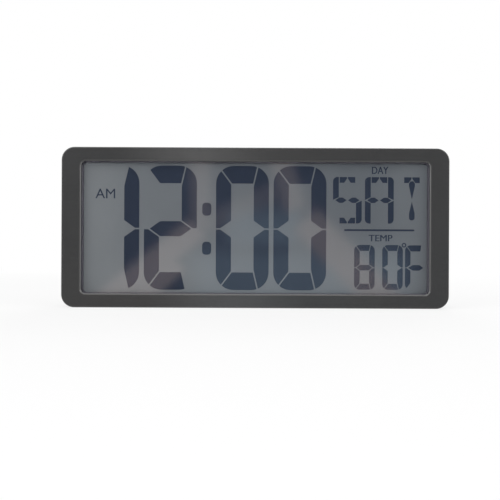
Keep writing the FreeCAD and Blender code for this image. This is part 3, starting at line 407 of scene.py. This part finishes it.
def lens_finish():
    finish = Finish("lens_clear")
    smears = finish.noise(45, detail=3)
    through = finish.node("BsdfTransparent", None, {"Color": LENS_TINT})
    mirror = finish.node("BsdfPrincipled", None, {
        "Base Color": MIRROR_TINT, "Metallic": 1.0, "Roughness": 0.03 + smears * 0.03})
    slant = finish.node("LayerWeight", None, {"Blend": 0.5}, out="Facing")
    share = slant ** 5 * (1 - LEAST_MIRROR) + LEAST_MIRROR
    finish.use(finish.node("MixShader", None, {0: share, 1: through, 2: mirror}))
    return finish


lens = lens_finish()
print("lens nodes:", len(lens.tree.nodes))

# %% [markdown]
# ## Metals, the board and the cells
# The screws, contacts and springs are plain metal with fine wear in the gloss. The board is green
# laminate. Each cell has a jacket in two plain colours with bright ends, and the colours change with
# the place along X, so no picture is needed.

# %% Metals and electrical finishes
CELL = {"band": 17, "cap": 3.2}


def metal_finish(name, colour, roughness):
    finish = Finish(name)
    wear = finish.noise(1.2, detail=4)
    scratches = finish.noise(0.5, stretch=(1, 1, 0.1))
    worn = finish.blend(wear, dimmed(colour, 0.7), colour)
    finish.surface(worn, roughness + wear * 0.2, 1.0, height=scratches, depth=0.005)
    return finish


def board_finish():
    finish = Finish("board_laminate")
    weave = finish.noise(0.8, stretch=(1, 1, 0.3))
    upright = finish.node("Mapping", None, {
        "Vector": finish.place(), "Rotation": (math.pi / 2, 0, 0)})
    tracks = finish.node("TexBrick", {"offset": 0.37, "squash": 0.6}, {
        "Vector": upright, "Scale": 220.0, "Mortar Size": 0.06, "Mortar Smooth": 0.1,
        "Brick Width": 1.6, "Row Height": 0.4}, out=1)
    mask = finish.blend(weave, shade(18, 74, 44), shade(26, 92, 56))
    colour = finish.blend(tracks * 0.5, mask, shade(52, 122, 78))
    finish.surface(colour, 0.32 + weave * 0.1, height=tracks, depth=0.02)
    return finish


def cell_finish():
    low, high = in_mm(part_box("battery_cells"))
    middle = (low.x + high.x) / 2
    row = (low.z + high.z) / 2
    half = (high.x - low.x) / 2
    finish = Finish("cell_jacket")
    x, _, z = finish.axes()
    upper = z > row
    along = (x - middle) * (upper * 2 - 1)
    band = along > half - CELL["band"]
    ends = abs(x - middle) > half - CELL["cap"]
    wear = finish.noise(2)
    jacket = finish.blend(band, shade(40, 46, 58), shade(176, 120, 62))
    colour = finish.blend(ends, jacket, shade(186, 186, 182))
    finish.surface(colour, 0.3 + wear * 0.12, 0.25 + ends * 0.75)
    return finish


steel = metal_finish("screw_steel", shade(150, 150, 148), 0.28)
nickel = metal_finish("contact_nickel", shade(198, 196, 188), 0.2)
can = metal_finish("can_metal", shade(170, 172, 176), 0.24)
board = board_finish()
cells = cell_finish()
chip = moulded("chip_black", shade(24, 24, 26), shade(34, 34, 36), 0.5, pit=0.25, depth=0.01)
epoxy = moulded("sensor_epoxy", shade(16, 16, 17), shade(28, 28, 30), 0.25, pit=0.6, depth=0.02)
red_lead = moulded("lead_red", shade(150, 22, 20), shade(176, 34, 28), 0.4, pit=0.5, depth=0.01)
black_lead = moulded("lead_black", shade(18, 18, 18), shade(30, 30, 30), 0.4, pit=0.5, depth=0.01)
print("cell nodes:", len(cells.tree.nodes), "board nodes:", len(board.tree.nodes))

# %% [markdown]
# ## Dress the CAD pieces
# Each CAD piece keeps its shape and only swaps its material. A table from piece to finish is easy to
# check: every piece must be in it.

# %% Give each CAD piece its finish
KEYS = ("set", "mode", "up", "down", "alarm")
DRESS = {
    "front_bezel": bezel, "display_lens": lens, "lens_tape": tape, "lcd_spacer": spacer,
    "front_polariser": polariser, "front_glass": glass, "rear_glass": glass, "reflector": reflector,
    "contact_strips": strip, "support_plate": inner, "main_board": board, "controller_chip": chip,
    "clock_crystal": can, "board_capacitors": can, "buzzer": switch, "temperature_sensor": epoxy,
    "button_switches": switch, "rear_cover": rear, "case_screws": steel, "battery_door": door,
    "battery_cells": cells, "link_contact": nickel, "positive_contact": nickel,
    "negative_contact": nickel, "battery_springs": nickel, "positive_lead": red_lead,
    "negative_lead": black_lead, "stand_leg": stand, "stand_feet": foot,
}
DRESS.update({f"{key}_plunger": plunger for key in KEYS})
DRESS.update({f"{key}_button": keys for key in KEYS})

for name, node in nodes.items():
    node.data.materials.clear()
    node.data.materials.append(DRESS[name].material)
print("dressed:", len(nodes), "of", len(DRESS))

# %% [markdown]
# ## Flat shapes for the display
# Every character of the display is a thin dark shape. The drawing is done flat, in millimetres, with
# u to the right and v up. A shape is then given a little thickness, stood up and moved to its place,
# just in front of the polariser.

# %% From a drawing to an object


def add_object(name, data):
    """Put an object with this data into the scene."""
    made = bpy.data.objects.new(name, data)
    bpy.context.scene.collection.objects.link(made)
    return made


def mesh_object(shape, name, finish):
    """Turn a finished bmesh into an object with one finish."""
    mesh = bpy.data.meshes.new(name)
    shape.to_mesh(mesh)
    shape.free()
    mesh.materials.append(finish.material)
    return add_object(name, mesh)


# %% Stand a flat shape on a surface
DISPLAY_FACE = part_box("front_polariser")[0].y * 1000
INK = 0.05


def stand_up(shape, name, finish, place, thick, to_rear=False):
    """Thicken a flat drawing and put it at place, in millimetres, facing the front or the rear."""
    drawn = bmesh.ops.extrude_face_region(shape, geom=list(shape.faces))
    raised = [item for item in drawn["geom"] if isinstance(item, bmesh.types.BMVert)]
    bmesh.ops.translate(shape, verts=raised, vec=(0, 0, thick))
    turn = Matrix.Rotation(math.pi / 2, 4, "X")
    if to_rear:
        turn = Matrix.Rotation(math.pi, 4, "Z") @ turn
    bmesh.ops.transform(shape, verts=shape.verts, matrix=turn)
    bmesh.ops.translate(shape, verts=shape.verts, vec=place)
    bmesh.ops.scale(shape, verts=shape.verts, vec=(0.001, 0.001, 0.001))
    bmesh.ops.recalc_face_normals(shape, faces=shape.faces)
    open_edges = [edge for edge in shape.edges if not edge.is_manifold]
    if open_edges:
        raise ValueError(f"{name} has {len(open_edges)} open edges")
    piece = mesh_object(shape, name, finish)
    return piece


def show(shape, name, left, low, thick=INK):
    """Put a flat drawing on the display, its 0, 0 at left, low."""
    piece = stand_up(shape, name, segment, (left, DISPLAY_FACE, low), thick)
    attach(piece, "case")


print("display face at y =", round(DISPLAY_FACE, 2), "mm, ink", INK, "mm thick")

# %% [markdown]
# ## Straight cuts make segments
# All segments of a digit belong to one rounded outline. So each segment starts as that whole outline,
# made from a square with its corners bevelled, and straight cuts trim it down. `bisect_plane` with
# `clear_outer` throws away what lies beyond a cut. The cut lines then match from segment to segment.

# %% An outline and its cuts
UP, DOWN, LEFT, RIGHT = (0, 1), (0, -1), (-1, 0), (1, 0)


def moved(shape, u, v):
    """The same drawing, shifted by u and v."""
    bmesh.ops.translate(shape, verts=shape.verts, vec=(u, v, 0))
    return shape


def turned(shape, angle, axis="Z"):
    """The same shape, turned about an axis through 0, 0."""
    bmesh.ops.rotate(shape, verts=shape.verts, matrix=Matrix.Rotation(angle, 3, axis))
    return shape


def outline(width, height, corner=0):
    """A flat rectangle with round corners, its lower left corner at 0, 0."""
    shape = bmesh.new()
    bmesh.ops.create_grid(shape, x_segments=1, y_segments=1, size=0.5)
    bmesh.ops.scale(shape, verts=shape.verts, vec=(width, height, 1))
    moved(shape, width / 2, height / 2)
    if corner:
        bmesh.ops.bevel(
            shape, geom=list(shape.verts), offset=corner, offset_type="OFFSET", segments=10,
            profile=0.5, affect="VERTICES", material=-1)
    return shape


def cut(shape, point, away):
    """Cut along the line through point, and clear the side that away points to."""
    every = list(shape.verts) + list(shape.edges) + list(shape.faces)
    bmesh.ops.bisect_plane(
        shape, geom=every, dist=1e-5, plane_co=(*point, 0),
        plane_no=(*Vector(away).normalized(), 0), clear_outer=True)


def cut_beside(shape, line, gap, kept):
    """Cut half a gap beside a line, and keep its left side (kept is 1) or its right side (-1)."""
    first, second = (Vector(point) for point in line)
    way = (second - first).normalized()
    inwards = Vector((-way.y, way.x)) * kept
    cut(shape, first + inwards * gap / 2, -inwards)


test = outline(49.6, 116.5, 16.6)
print("outline corners:", len(test.verts))
test.free()

# %% [markdown]
# ## The digit's seven segments
# The segments are named as on every seven-segment display: a on top, then b to f clockwise, and g in
# the middle. The corner cuts run at about 53 degrees on the left and stand almost upright on the
# right. Pointed notches part the upper and lower halves a little below the middle of the height.

# %% One segment
MIDDLE_SHARE = 0.492
SLANT = (0.66, 0.88)
UPRIGHT = (0.24, 1.02)
NOTCH = 0.7
LEFT_OF, RIGHT_OF = 1, -1
SEGMENT_ENDS = {
    "a": {"top left": RIGHT_OF, "top right": LEFT_OF},
    "b": {"top right": RIGHT_OF, "over right": LEFT_OF},
    "c": {"bottom right": LEFT_OF, "under right": RIGHT_OF},
    "d": {"bottom left": LEFT_OF, "bottom right": RIGHT_OF},
    "e": {"bottom left": RIGHT_OF, "under left": LEFT_OF},
    "f": {"top left": LEFT_OF, "over left": RIGHT_OF},
    "g": {"over left": LEFT_OF, "over right": RIGHT_OF, "under left": RIGHT_OF, "under right": LEFT_OF},
}


def segment_shape(which, size):
    """One segment of a digit whose sizes are in millimetres."""
    width, height, side, bar, gap = (size[key] for key in ("width", "height", "side", "bar", "gap"))
    shape = outline(width, height, size["corner"])
    middle = MIDDLE_SHARE * height
    left, right, low, high = side, width - side, bar, height - bar
    over, under, notch = middle + side / 2, middle - side / 2, NOTCH * side
    slant_u, slant_v, upright_u, upright_v = (part * side for part in SLANT + UPRIGHT)
    lines = {
        "top left": ((left, high), (left - slant_u, high + slant_v)),
        "bottom left": ((left, low), (left - slant_u, low - slant_v)),
        "top right": ((right, high), (right + upright_u, high + upright_v)),
        "bottom right": ((right, low), (right + upright_u, low - upright_v)),
        "over left": ((left, over), (left - notch, middle)),
        "over right": ((right, over), (right + notch, middle)),
        "under left": ((left, under), (left - notch, middle)),
        "under right": ((right, under), (right + notch, middle)),
    }
    if which == "a":
        cut(shape, (0, high), DOWN)
    if which == "d":
        cut(shape, (0, low), UP)
    if which in "fe":
        cut(shape, (left, 0), RIGHT)
    if which in "bc":
        cut(shape, (right, 0), LEFT)
    if which in "fb":
        cut(shape, (0, middle + gap / 2), DOWN)
    if which in "ec":
        cut(shape, (0, middle - gap / 2), UP)
    if which == "g":
        cut(shape, (0, over), UP)
        cut(shape, (0, under), DOWN)
    for line, kept in SEGMENT_ENDS[which].items():
        cut_beside(shape, lines[line], gap, kept)
    return shape


BIG = {"width": 49.6, "height": 116.5, "side": 14.2, "bar": 16.5, "corner": 16.6, "gap": 1.3}
SMALL = {"width": 19.3, "height": 42, "side": 5.2, "bar": 5.6, "corner": 5.3, "gap": 0.6}
for which in "abcdefg":
    sample = segment_shape(which, BIG)
    area = round(sum(face.calc_area() for face in sample.faces))
    print(which, "has", len(sample.verts), "corners,", area, "mm2")
    sample.free()

# %% [markdown]
# ## Hours, minutes and temperature
# The big digits read 12:00, and the small ones read 80 beside a raised ring and the letter F. A digit
# is its list of lit segments, as the clock's controller sees it. The 1 fills the right half of its
# place, so the gap before the 2 is the same as between the noughts.

# %% Make the digits
LIT = {"0": "abcdef", "1": "bc", "2": "abged", "8": "abcdefg"}
BIG_LEFT, BIG_LOW = (-158.5, -104.5, -36.9, 17.1), 16.3
SMALL_LEFT, SMALL_LOW = (93.0, 119.4), 17.2


def make_number(name, digits, size, lefts, low):
    """The lit segments of each digit, whose places start at lefts and stand on low."""
    for index, (digit, left) in enumerate(zip(digits, lefts)):
        for which in LIT[digit]:
            show(segment_shape(which, size), f"{name}_{index}_{which}", left, low)


make_number("time_digit", "1200", BIG, BIG_LEFT, BIG_LOW)
make_number("temperature_digit", "80", SMALL, SMALL_LEFT, SMALL_LOW)
print("digits made, big ones", BIG["height"], "mm high")

# %% [markdown]
# ## Small shapes: dots, bars and leaves
# The colon, the divider line and the day letters use three more shapes. A dot is a small outline, and
# a bar is one with straight ends. A leaf is a bar with its corners cut away from its tips to its
# shoulders, so it ends in two points.

# %% Dots, the divider and leaves
DOT = {"width": 8.5, "height": 12.2, "corner": 3.4}
DOT_LEFT, DOT_LOWS = -49.8, (86.0, 49.3)
DIVIDER = {"width": 66, "height": 1.7, "corner": 0.8}
DIVIDER_LEFT, DIVIDER_LOW = 83.4, 72.2


def leaf(width, height, tips):
    """A flat leaf whose pointed ends, left and right, take up the lengths in tips."""
    shape = outline(width, height)
    for rise in (1, -1):
        for end, tip, outwards in ((0, tips[0], -1), (width, tips[1], 1)):
            cut(shape, (end, height / 2), (outwards * height / 2, rise * tip))
    return shape


for index, low in enumerate(DOT_LOWS):
    show(outline(**DOT), f"colon_dot_{index}", DOT_LEFT, low)
show(outline(**DIVIDER), "divider_line", DIVIDER_LEFT, DIVIDER_LOW)
print("colon and divider made")

# %% [markdown]
# ## The day letters
# A day letter has more segments than a digit: its top and bottom bars are in two halves with a
# slanted gap, and its middle bar is two leaves. S and A are made of columns, half bars and leaves, and
# T of half bars and two drops. The columns hold the whole round corner, so their inner cut is upright.

# %% Parts of a day letter
LETTER = {"width": 27, "height": 43.6, "stroke": 5.4, "gap": 0.8}
LETTER_CORNER = 4
COLUMN_END = {"shoulder": 2.4, "slope": 0.45}
BAR_END = {"shoulder": 0.72, "slope": 0.7}
LEAF = {"width": 10.8, "height": 5, "tips": (3.8, 3.8)}
LEAF_INSET = 2.1


def letter_column(side, half):
    """One quarter of a letter's frame: a column with its round corner."""
    width, height, stroke, gap = LETTER.values()
    shape = outline(width, height, LETTER_CORNER)
    edge, inwards = (stroke, 1) if side == "left" else (width - stroke, -1)
    rise = 1 if half == "upper" else -1
    end = height / 2 + rise * gap / 2
    shoulder = height / 2 + rise * (gap / 2 + COLUMN_END["shoulder"])
    cut(shape, (edge, 0), (inwards, 0))
    cut(shape, (0, end), (0, -rise))
    cut(shape, (edge, shoulder), (inwards * COLUMN_END["slope"], -rise))
    return shape


def letter_bar(side, edge):
    """Half of the top or bottom bar, its inner corner cut away."""
    width, height, stroke, gap = LETTER.values()
    length = (width - 2 * stroke - 3 * gap) / 2
    shape = outline(length, stroke)
    inner_end, way = (length, 1) if side == "left" else (0, -1)
    share, rise = (BAR_END["shoulder"], -1) if edge == "top" else (1 - BAR_END["shoulder"], 1)
    cut(shape, (inner_end, share * stroke), (way, BAR_END["slope"] * rise))
    left = stroke + gap if side == "left" else stroke + 2 * gap + length
    low = height - stroke if edge == "top" else 0
    return moved(shape, left, low)


def letter_leaf(side):
    """One half of the middle bar."""
    left = LEAF_INSET if side == "left" else LETTER["width"] - LEAF_INSET - LEAF["width"]
    return moved(leaf(**LEAF), left, LETTER["height"] / 2 - LEAF["height"] / 2)


print("letter place:", LETTER["width"], "by", LETTER["height"], "mm")

# %% Spell the day
SPELLING = {
    "S": ("column left upper", "bar left top", "bar right top", "leaf left", "leaf right",
          "column right lower", "bar left bottom", "bar right bottom"),
    "A": ("column left upper", "column right upper", "bar left top", "bar right top",
          "leaf left", "leaf right", "column left lower", "column right lower"),
    "T": ("bar left top", "bar right top"),
}
PARTS = {"column": letter_column, "bar": letter_bar, "leaf": letter_leaf}
LETTER_LEFT = {"S": 72.9, "A": 102.9, "T": 133.45}
LETTER_LOW = 79.3

for letter, parts in SPELLING.items():
    for index, part in enumerate(parts):
        kind, *where = part.split()
        show(PARTS[kind](*where), f"day_{letter}_{index}", LETTER_LEFT[letter], LETTER_LOW)
print("letters:", ", ".join(SPELLING))

# %% [markdown]
# The T has a drop that hangs point down from its bar, and another that stands point up below it. Each
# is a leaf with one long tip and one short, blunt one. It is drawn lying down and turned a quarter.
# The F shares its outline with a digit: its top bar is cut short, and its middle bar is one leaf.

# %% The drops of the T and the letter F


def drop(length, width, tips, blunt):
    """A leaf on its end about u = 0, with tips and blunt for its low and high ends."""
    shape = moved(leaf(length, width, tips), 0, -width / 2)
    cut(shape, (blunt[0], 0), LEFT)
    cut(shape, (length - blunt[1], 0), RIGHT)
    return turned(shape, math.pi / 2)


stem = LETTER_LEFT["T"] + LETTER["width"] / 2
upper_drop = drop(18.6, 5.6, tips=(12.6, 3.6), blunt=(0.0, 1.6))
lower_drop = drop(18.7, 5.2, tips=(2.6, 11.1), blunt=(1.1, 0.0))
show(upper_drop, "day_T_upper_drop", stem, LETTER_LOW + 22.8)
show(lower_drop, "day_T_lower_drop", stem, LETTER_LOW + 2.1)

F_SIZE = {"width": 19.6, "height": 41.5, "side": 5.1, "bar": 5.7, "corner": 5, "gap": 0.6}
F_TOP_LENGTH = 15.1
F_LEFT, F_LOW = 140.8, 17.5
for which in "fe":
    show(segment_shape(which, F_SIZE), f"degree_F_{which}", F_LEFT, F_LOW)
top = segment_shape("a", F_SIZE)
cut(top, (F_TOP_LENGTH, F_SIZE["height"]), (1, -0.12))
show(top, "degree_F_a", F_LEFT, F_LOW)
show(leaf(14.2, 5.2, tips=(4.4, 3.6)), "degree_F_g", F_LEFT + 2.9, F_LOW + 17.8)
print("day and temperature letters made")

# %% [markdown]
# ## The degree ring and the small words
# The ring is a small circle spun into a band. The fixed words AM, DAY and TEMP are printed on such
# displays in a plain sans serif, so Blender's own font does for them: a text is set to the height of
# its capitals, made a mesh, and given the same thickness as the segments. DAY and TEMP are bolder, so
# they are struck twice, a third of a millimetre apart. `BOLD_WORDS` gives the height, the width and the
# place of each.

# %% Degree ring
RING_OUTER, RING_INNER = 2.2, 1.15
RING_PLACE = (139.75, 59.1)


def ring(outer_radius, inner_radius):
    """A flat ring about 0, 0."""
    shape = bmesh.new()
    start = shape.verts.new((inner_radius, 0, 0))
    end = shape.verts.new((outer_radius, 0, 0))
    edge = shape.edges.new((start, end))
    bmesh.ops.spin(shape, geom=[start, end, edge], axis=(0, 0, 1), cent=(0, 0, 0),
                   angle=2 * math.pi, steps=32, use_merge=True, use_duplicate=False)
    return shape


show(ring(RING_OUTER, RING_INNER), "degree_ring", *RING_PLACE)
print("degree ring", 2 * RING_OUTER, "mm across")

# %% Printed words
BOLD_WORDS = (("DAY", 6.8, 15.2, 109.3, 125.9), ("TEMP", 6.0, 22.1, 106.5, 62.7))
STRIKE_SHIFT, STRIKE_RAISE = 0.35, 0.01


def word_shape(word, height, width):
    """A word as a flat drawing, with capitals of one height, fitted to a width."""
    text = bpy.data.curves.new("word", "FONT")
    text.body = word
    text.size = 1.0
    text.resolution_u = 4
    holder = add_object("word", text)
    bpy.context.view_layer.update()
    mesh = bpy.data.meshes.new_from_object(holder)
    shape = bmesh.new()
    shape.from_mesh(mesh)
    bpy.data.objects.remove(holder)
    bpy.data.curves.remove(text)
    bpy.data.meshes.remove(mesh)
    bmesh.ops.remove_doubles(shape, verts=shape.verts, dist=1e-5)
    lows = [min(vert.co[axis] for vert in shape.verts) for axis in (0, 1)]
    highs = [max(vert.co[axis] for vert in shape.verts) for axis in (0, 1)]
    moved(shape, -lows[0], -lows[1])
    bmesh.ops.scale(shape, verts=shape.verts, vec=(
        width / (highs[0] - lows[0]), height / (highs[1] - lows[1]), 1))
    return shape


show(word_shape("AM", 9.0, 18.4), "word_AM", -150.1, 101.9)
for word, height, width, left, low in BOLD_WORDS:
    for strike in (0, 1):
        show(word_shape(word, height, width), f"word_{word}_{strike}",
             left + STRIKE_SHIFT * strike, low, INK + STRIKE_RAISE * strike)
print("words printed")

# %% [markdown]
# ## Symbols on the keys
# The keys at the rear carry plain raised symbols: a ring to set, two bars for the mode, triangles for
# up and down, and a small bell for the alarm. They stand 0.1 mm proud of caps that lie 0.2 mm below
# the back wall, so they stay within the clock's depth.

# %% Key symbols
KEY_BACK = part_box("up_button")[1].y * 1000
SYMBOL_HEIGHT = 0.1
symbol = layer_finish("symbol_print", shade(206, 206, 204), 0.5)


def triangle(size, angle=0.0):
    """A flat triangle that points up, or where it is turned to."""
    shape = bmesh.new()
    bmesh.ops.create_circle(shape, cap_ends=True, segments=3, radius=size)
    turned(shape, angle)
    heights = [vert.co.y for vert in shape.verts]
    return moved(shape, 0, -(min(heights) + max(heights)) / 2)


def bell(size):
    """A flat bell: a round dome over a flared skirt."""
    shape = outline(size * 1.5, size * 2, size * 0.72)
    cut(shape, (0, size * 0.45), DOWN)
    return moved(shape, -size * 0.75, -size * 1.2)


def symbol_bar(length, width, corner, low):
    """A level bar about u = 0 that stands on low."""
    return moved(outline(length, width, corner), -length / 2, low)


def mark_key(key, shapes):
    """Raise flat drawings on one key's cap."""
    low, high = in_mm(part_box(f"{key}_button"))
    middle = ((low.x + high.x) / 2, KEY_BACK, (low.z + high.z) / 2)
    for index, shape in enumerate(shapes):
        piece = stand_up(shape, f"{key}_symbol_{index}", symbol, middle,
                         SYMBOL_HEIGHT, to_rear=True)
        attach(piece, f"{key}_key")


mark_key("set", [ring(1.5, 1.0)])
mark_key("mode", [symbol_bar(3.4, 0.6, 0.2, low) for low in (0.5, -1.1)])
mark_key("up", [triangle(1.6)])
mark_key("down", [triangle(1.6, math.pi)])
mark_key("alarm", [bell(1.5), symbol_bar(3.2, 0.4, 0.15, -1.5)])
print("caps lie", round(cad_box[1].y * 1000 - KEY_BACK, 2), "mm below the back wall")

# %% [markdown]
# ## Floor and background
# The clock stands on a plain white floor in a white room. To the camera the room's world is plain
# white, so the picture has no horizon, while the light that reaches the clock from it is softer. The
# floor shows most of that white too, and a share of its real shading, which keeps the clock's shadow.
# From 0.3 m to 1.1 m away from the clock, the real shading fades out.

# %% Floor
FLOOR_HALF = 8.0
FLOOR_DROP = 0.0002
SHADED_TO, WHITE_FROM = 0.3, 1.1
LEAST_WHITE = 0.75


def make_floor():
    finish = Finish("floor_white")
    matt = finish.node("BsdfDiffuse", None, {"Color": (0.86, 0.86, 0.86, 1.0)})
    glow = finish.node("Emission", None, {"Color": WHITE, "Strength": 1.0})
    camera, mirrored, through = (
        finish.node("LightPath", out=f"Is {kind} Ray") for kind in ("Camera", "Glossy", "Transmission"))
    distance = finish.node("VectorMath", {"operation": "LENGTH"}, {0: finish.place()}, out="Value")
    plain = finish.fade(distance, SHADED_TO, WHITE_FROM, low=LEAST_WHITE)
    share = (camera + mirrored + through) * plain
    finish.use(finish.node("MixShader", None, {0: share, 1: matt, 2: glow}))
    shape = bmesh.new()
    bmesh.ops.create_grid(shape, x_segments=1, y_segments=1, size=FLOOR_HALF)
    bmesh.ops.translate(shape, verts=shape.verts, vec=(0, 0, -FLOOR_DROP))
    floor = mesh_object(shape, "floor", finish)
    floor.visible_glossy = False


make_floor()
print("floor", 2 * FLOOR_HALF, "m wide")

# %% World
WORLD_LIGHT = 0.45

world = bpy.data.worlds.new("studio")
bpy.context.scene.world = world
sky = Graph(world, "OutputWorld")
seen = sky.node("LightPath", out="Is Camera Ray")
mirrored = sky.node("LightPath", out="Is Glossy Ray")
strength = sky.fade(seen.larger(mirrored), 0, 1, low=WORLD_LIGHT, kind="LINEAR")
sky.use(sky.node("Background", None, {"Color": WHITE, "Strength": strength}))
print("world light", WORLD_LIGHT)

# %% [markdown]
# ## Soft lamps
# Large softboxes light the clock from the upper left, the upper right and above, and the window's bevel
# catches a thin bright line from them and from its painted highlight. A narrow one in front lights the
# display up to the edge of its frame, and the lens doesn't mirror it. One lights the rear. Large lamps
# give soft shadows. None is seen by the camera.

# %% Lamps
AIM = Vector((0, 0, 0.075))


def softbox(name, place, size, power, mirrored=True):
    """A soft lamp aimed at the clock, which the lens may or may not mirror."""
    lamp = bpy.data.lights.new(name, "AREA")
    lamp.shape = "RECTANGLE"
    lamp.size, lamp.size_y = size
    lamp.energy = power
    holder = add_object(name, lamp)
    holder.location = place
    holder.rotation_euler = (AIM - Vector(place)).to_track_quat("-Z", "Y").to_euler()
    holder.visible_camera = False
    holder.visible_glossy = mirrored


softbox("lamp_left", (-1.1, -0.9, 0.9), (0.9, 0.9), 7)
softbox("lamp_right", (1.2, -0.7, 0.8), (0.8, 0.9), 5)
softbox("lamp_top", (0, -0.3, 1.5), (1.4, 0.8), 5)
softbox("lamp_front", (-0.12, -1.4, 0.45), (0.3, 0.6), 6, mirrored=False)
softbox("lamp_rear", (0.4, 1.3, 0.9), (1.2, 0.9), 9)

# %% [markdown]
# ## What the lens mirrors
# In front of a glossy lens stands a dim room, and soft slanting beams of warm light cross it. They
# make the pale sheen that runs over the display. The room is one upright card whose brightness is
# worked out from the place on it, and it turns white towards its edges, as the world is. It only shows
# in reflections: it lights nothing, casts no shadow and no view shows it. A beam is a line on the card
# with half its width, the softness of its sides and, where it is warm, its strength.

# %% Beams of light on a card


def beam(finish, start, end, half, soft):
    """1 on a strip of a card from start to end, in millimetres, fading out at its sides and ends."""
    u, _, w = finish.axes()
    way = Vector(end) - Vector(start)
    length = way.length
    way.normalize()
    aside = (w - start[1]) * way.x - (u - start[0]) * way.y
    along = (u - start[0]) * way.x + (w - start[1]) * way.y - length / 2
    sides = finish.fade(abs(aside), half + soft, half - soft)
    ends = finish.fade(abs(along), length / 2 + soft, length / 2 - soft)
    return sides * ends


def largest(fields):
    """The largest of several fields, place by place."""
    most, *others = fields
    for other in others:
        most = most.larger(other)
    return most


WARM_BEAMS = (
    ((-158, 125), (-606, -237), 36, 20, 1.0),
    ((-150, 110), (-160, 420), 30, 20, 0.6),
    ((84, 330), (132, 176), 33, 20, 0.68),
    ((162, 148), (430, -130), 48, 24, 0.9),
    ((-222, 18), (-338, -88), 34, 18, 1.0),
    ((-140, 130), (110, 249), 27, 22, 0.35),
)
COOL_BEAMS = (
    ((-180, -46), (480, -46), 104, 60),
    ((-80, 118), (150, 118), 60, 40),
)
print("beams:", len(WARM_BEAMS), "warm and", len(COOL_BEAMS), "cool")

# %% The room before the clock
CARD = {"half_width": 1400, "half_height": 750, "before": 1250, "above": 200}
WHITE_SIDE, WHITE_END = 800, 500
DIM = (0.03, 0.04, 0.06, 1.0)
COOL = (0.40, 0.54, 0.66, 1.0)
WARM = (1.0, 0.79, 0.73, 1.0)


def room_finish():
    finish = Finish("room_card")
    sheen = largest(beam(finish, *line) * share for *line, share in WARM_BEAMS)
    cool = largest(beam(finish, *line) for line in COOL_BEAMS)
    room = finish.blend(sheen, finish.blend(cool, DIM, COOL), WARM)
    u, _, w = finish.axes()
    sides = finish.fade(abs(u), WHITE_SIDE, CARD["half_width"])
    ends = finish.fade(abs(w - CARD["above"]), WHITE_END, CARD["half_height"])
    colour = finish.blend(sides.larger(ends), room, WHITE)
    finish.use(finish.node("Emission", None, {"Color": colour, "Strength": 1.0}))
    return finish


def make_room():
    half_width, half_height, before, above = (size / 1000 for size in CARD.values())
    shape = bmesh.new()
    bmesh.ops.create_grid(shape, x_segments=1, y_segments=1, size=1.0)
    bmesh.ops.scale(shape, verts=shape.verts, vec=(half_width, half_height, 1))
    turned(shape, math.pi / 2, "X")
    bmesh.ops.translate(shape, verts=shape.verts, vec=(0, -before, above))
    card = mesh_object(shape, "room_card", room_finish())
    for ray in ("camera", "diffuse", "transmission", "shadow", "volume_scatter"):
        setattr(card, f"visible_{ray}", False)


make_room()
print("room card stands", CARD["before"], "mm before the clock")

# %% [markdown]
# ## Camera
# The clock is seen straight on, from a little below its middle and left of it, so it sits high in
# the frame and a touch to the right, and the camera is turned by a quarter of a degree. The face is
# 360 mm wide and fills about 389 of the 500 pixels, which at a distance of 0.55 m fixes the focal
# length.

# %% Camera
DISTANCE = 550.0
FACE_PIXELS = 388.6
FRAME_PIXELS = 500
PIXELS_LEFT, PIXELS_BELOW = 5.2, 22.2
ROLL = math.radians(-0.27)
SENSOR = 36.0
width = (cad_box[1].x - cad_box[0].x) * 1000
middle_height = round((cad_box[0].z + cad_box[1].z) / 2, 4)
per_pixel = width / FACE_PIXELS

camera_data = bpy.data.cameras.new("camera")
camera_data.sensor_width = SENSOR
camera_data.lens = SENSOR * DISTANCE / (per_pixel * FRAME_PIXELS)
camera = add_object("camera", camera_data)
camera.location = (
    -PIXELS_LEFT * per_pixel / 1000,
    (FACE - DISTANCE) / 1000,
    middle_height - PIXELS_BELOW * per_pixel / 1000)
camera.rotation_euler = (math.pi / 2, ROLL, 0)
bpy.context.scene.camera = camera
bpy.context.scene.view_settings.view_transform = "Standard"
print("lens:", round(camera_data.lens, 2), "mm")
print("camera at", [round(1000 * part, 1) for part in camera.location])
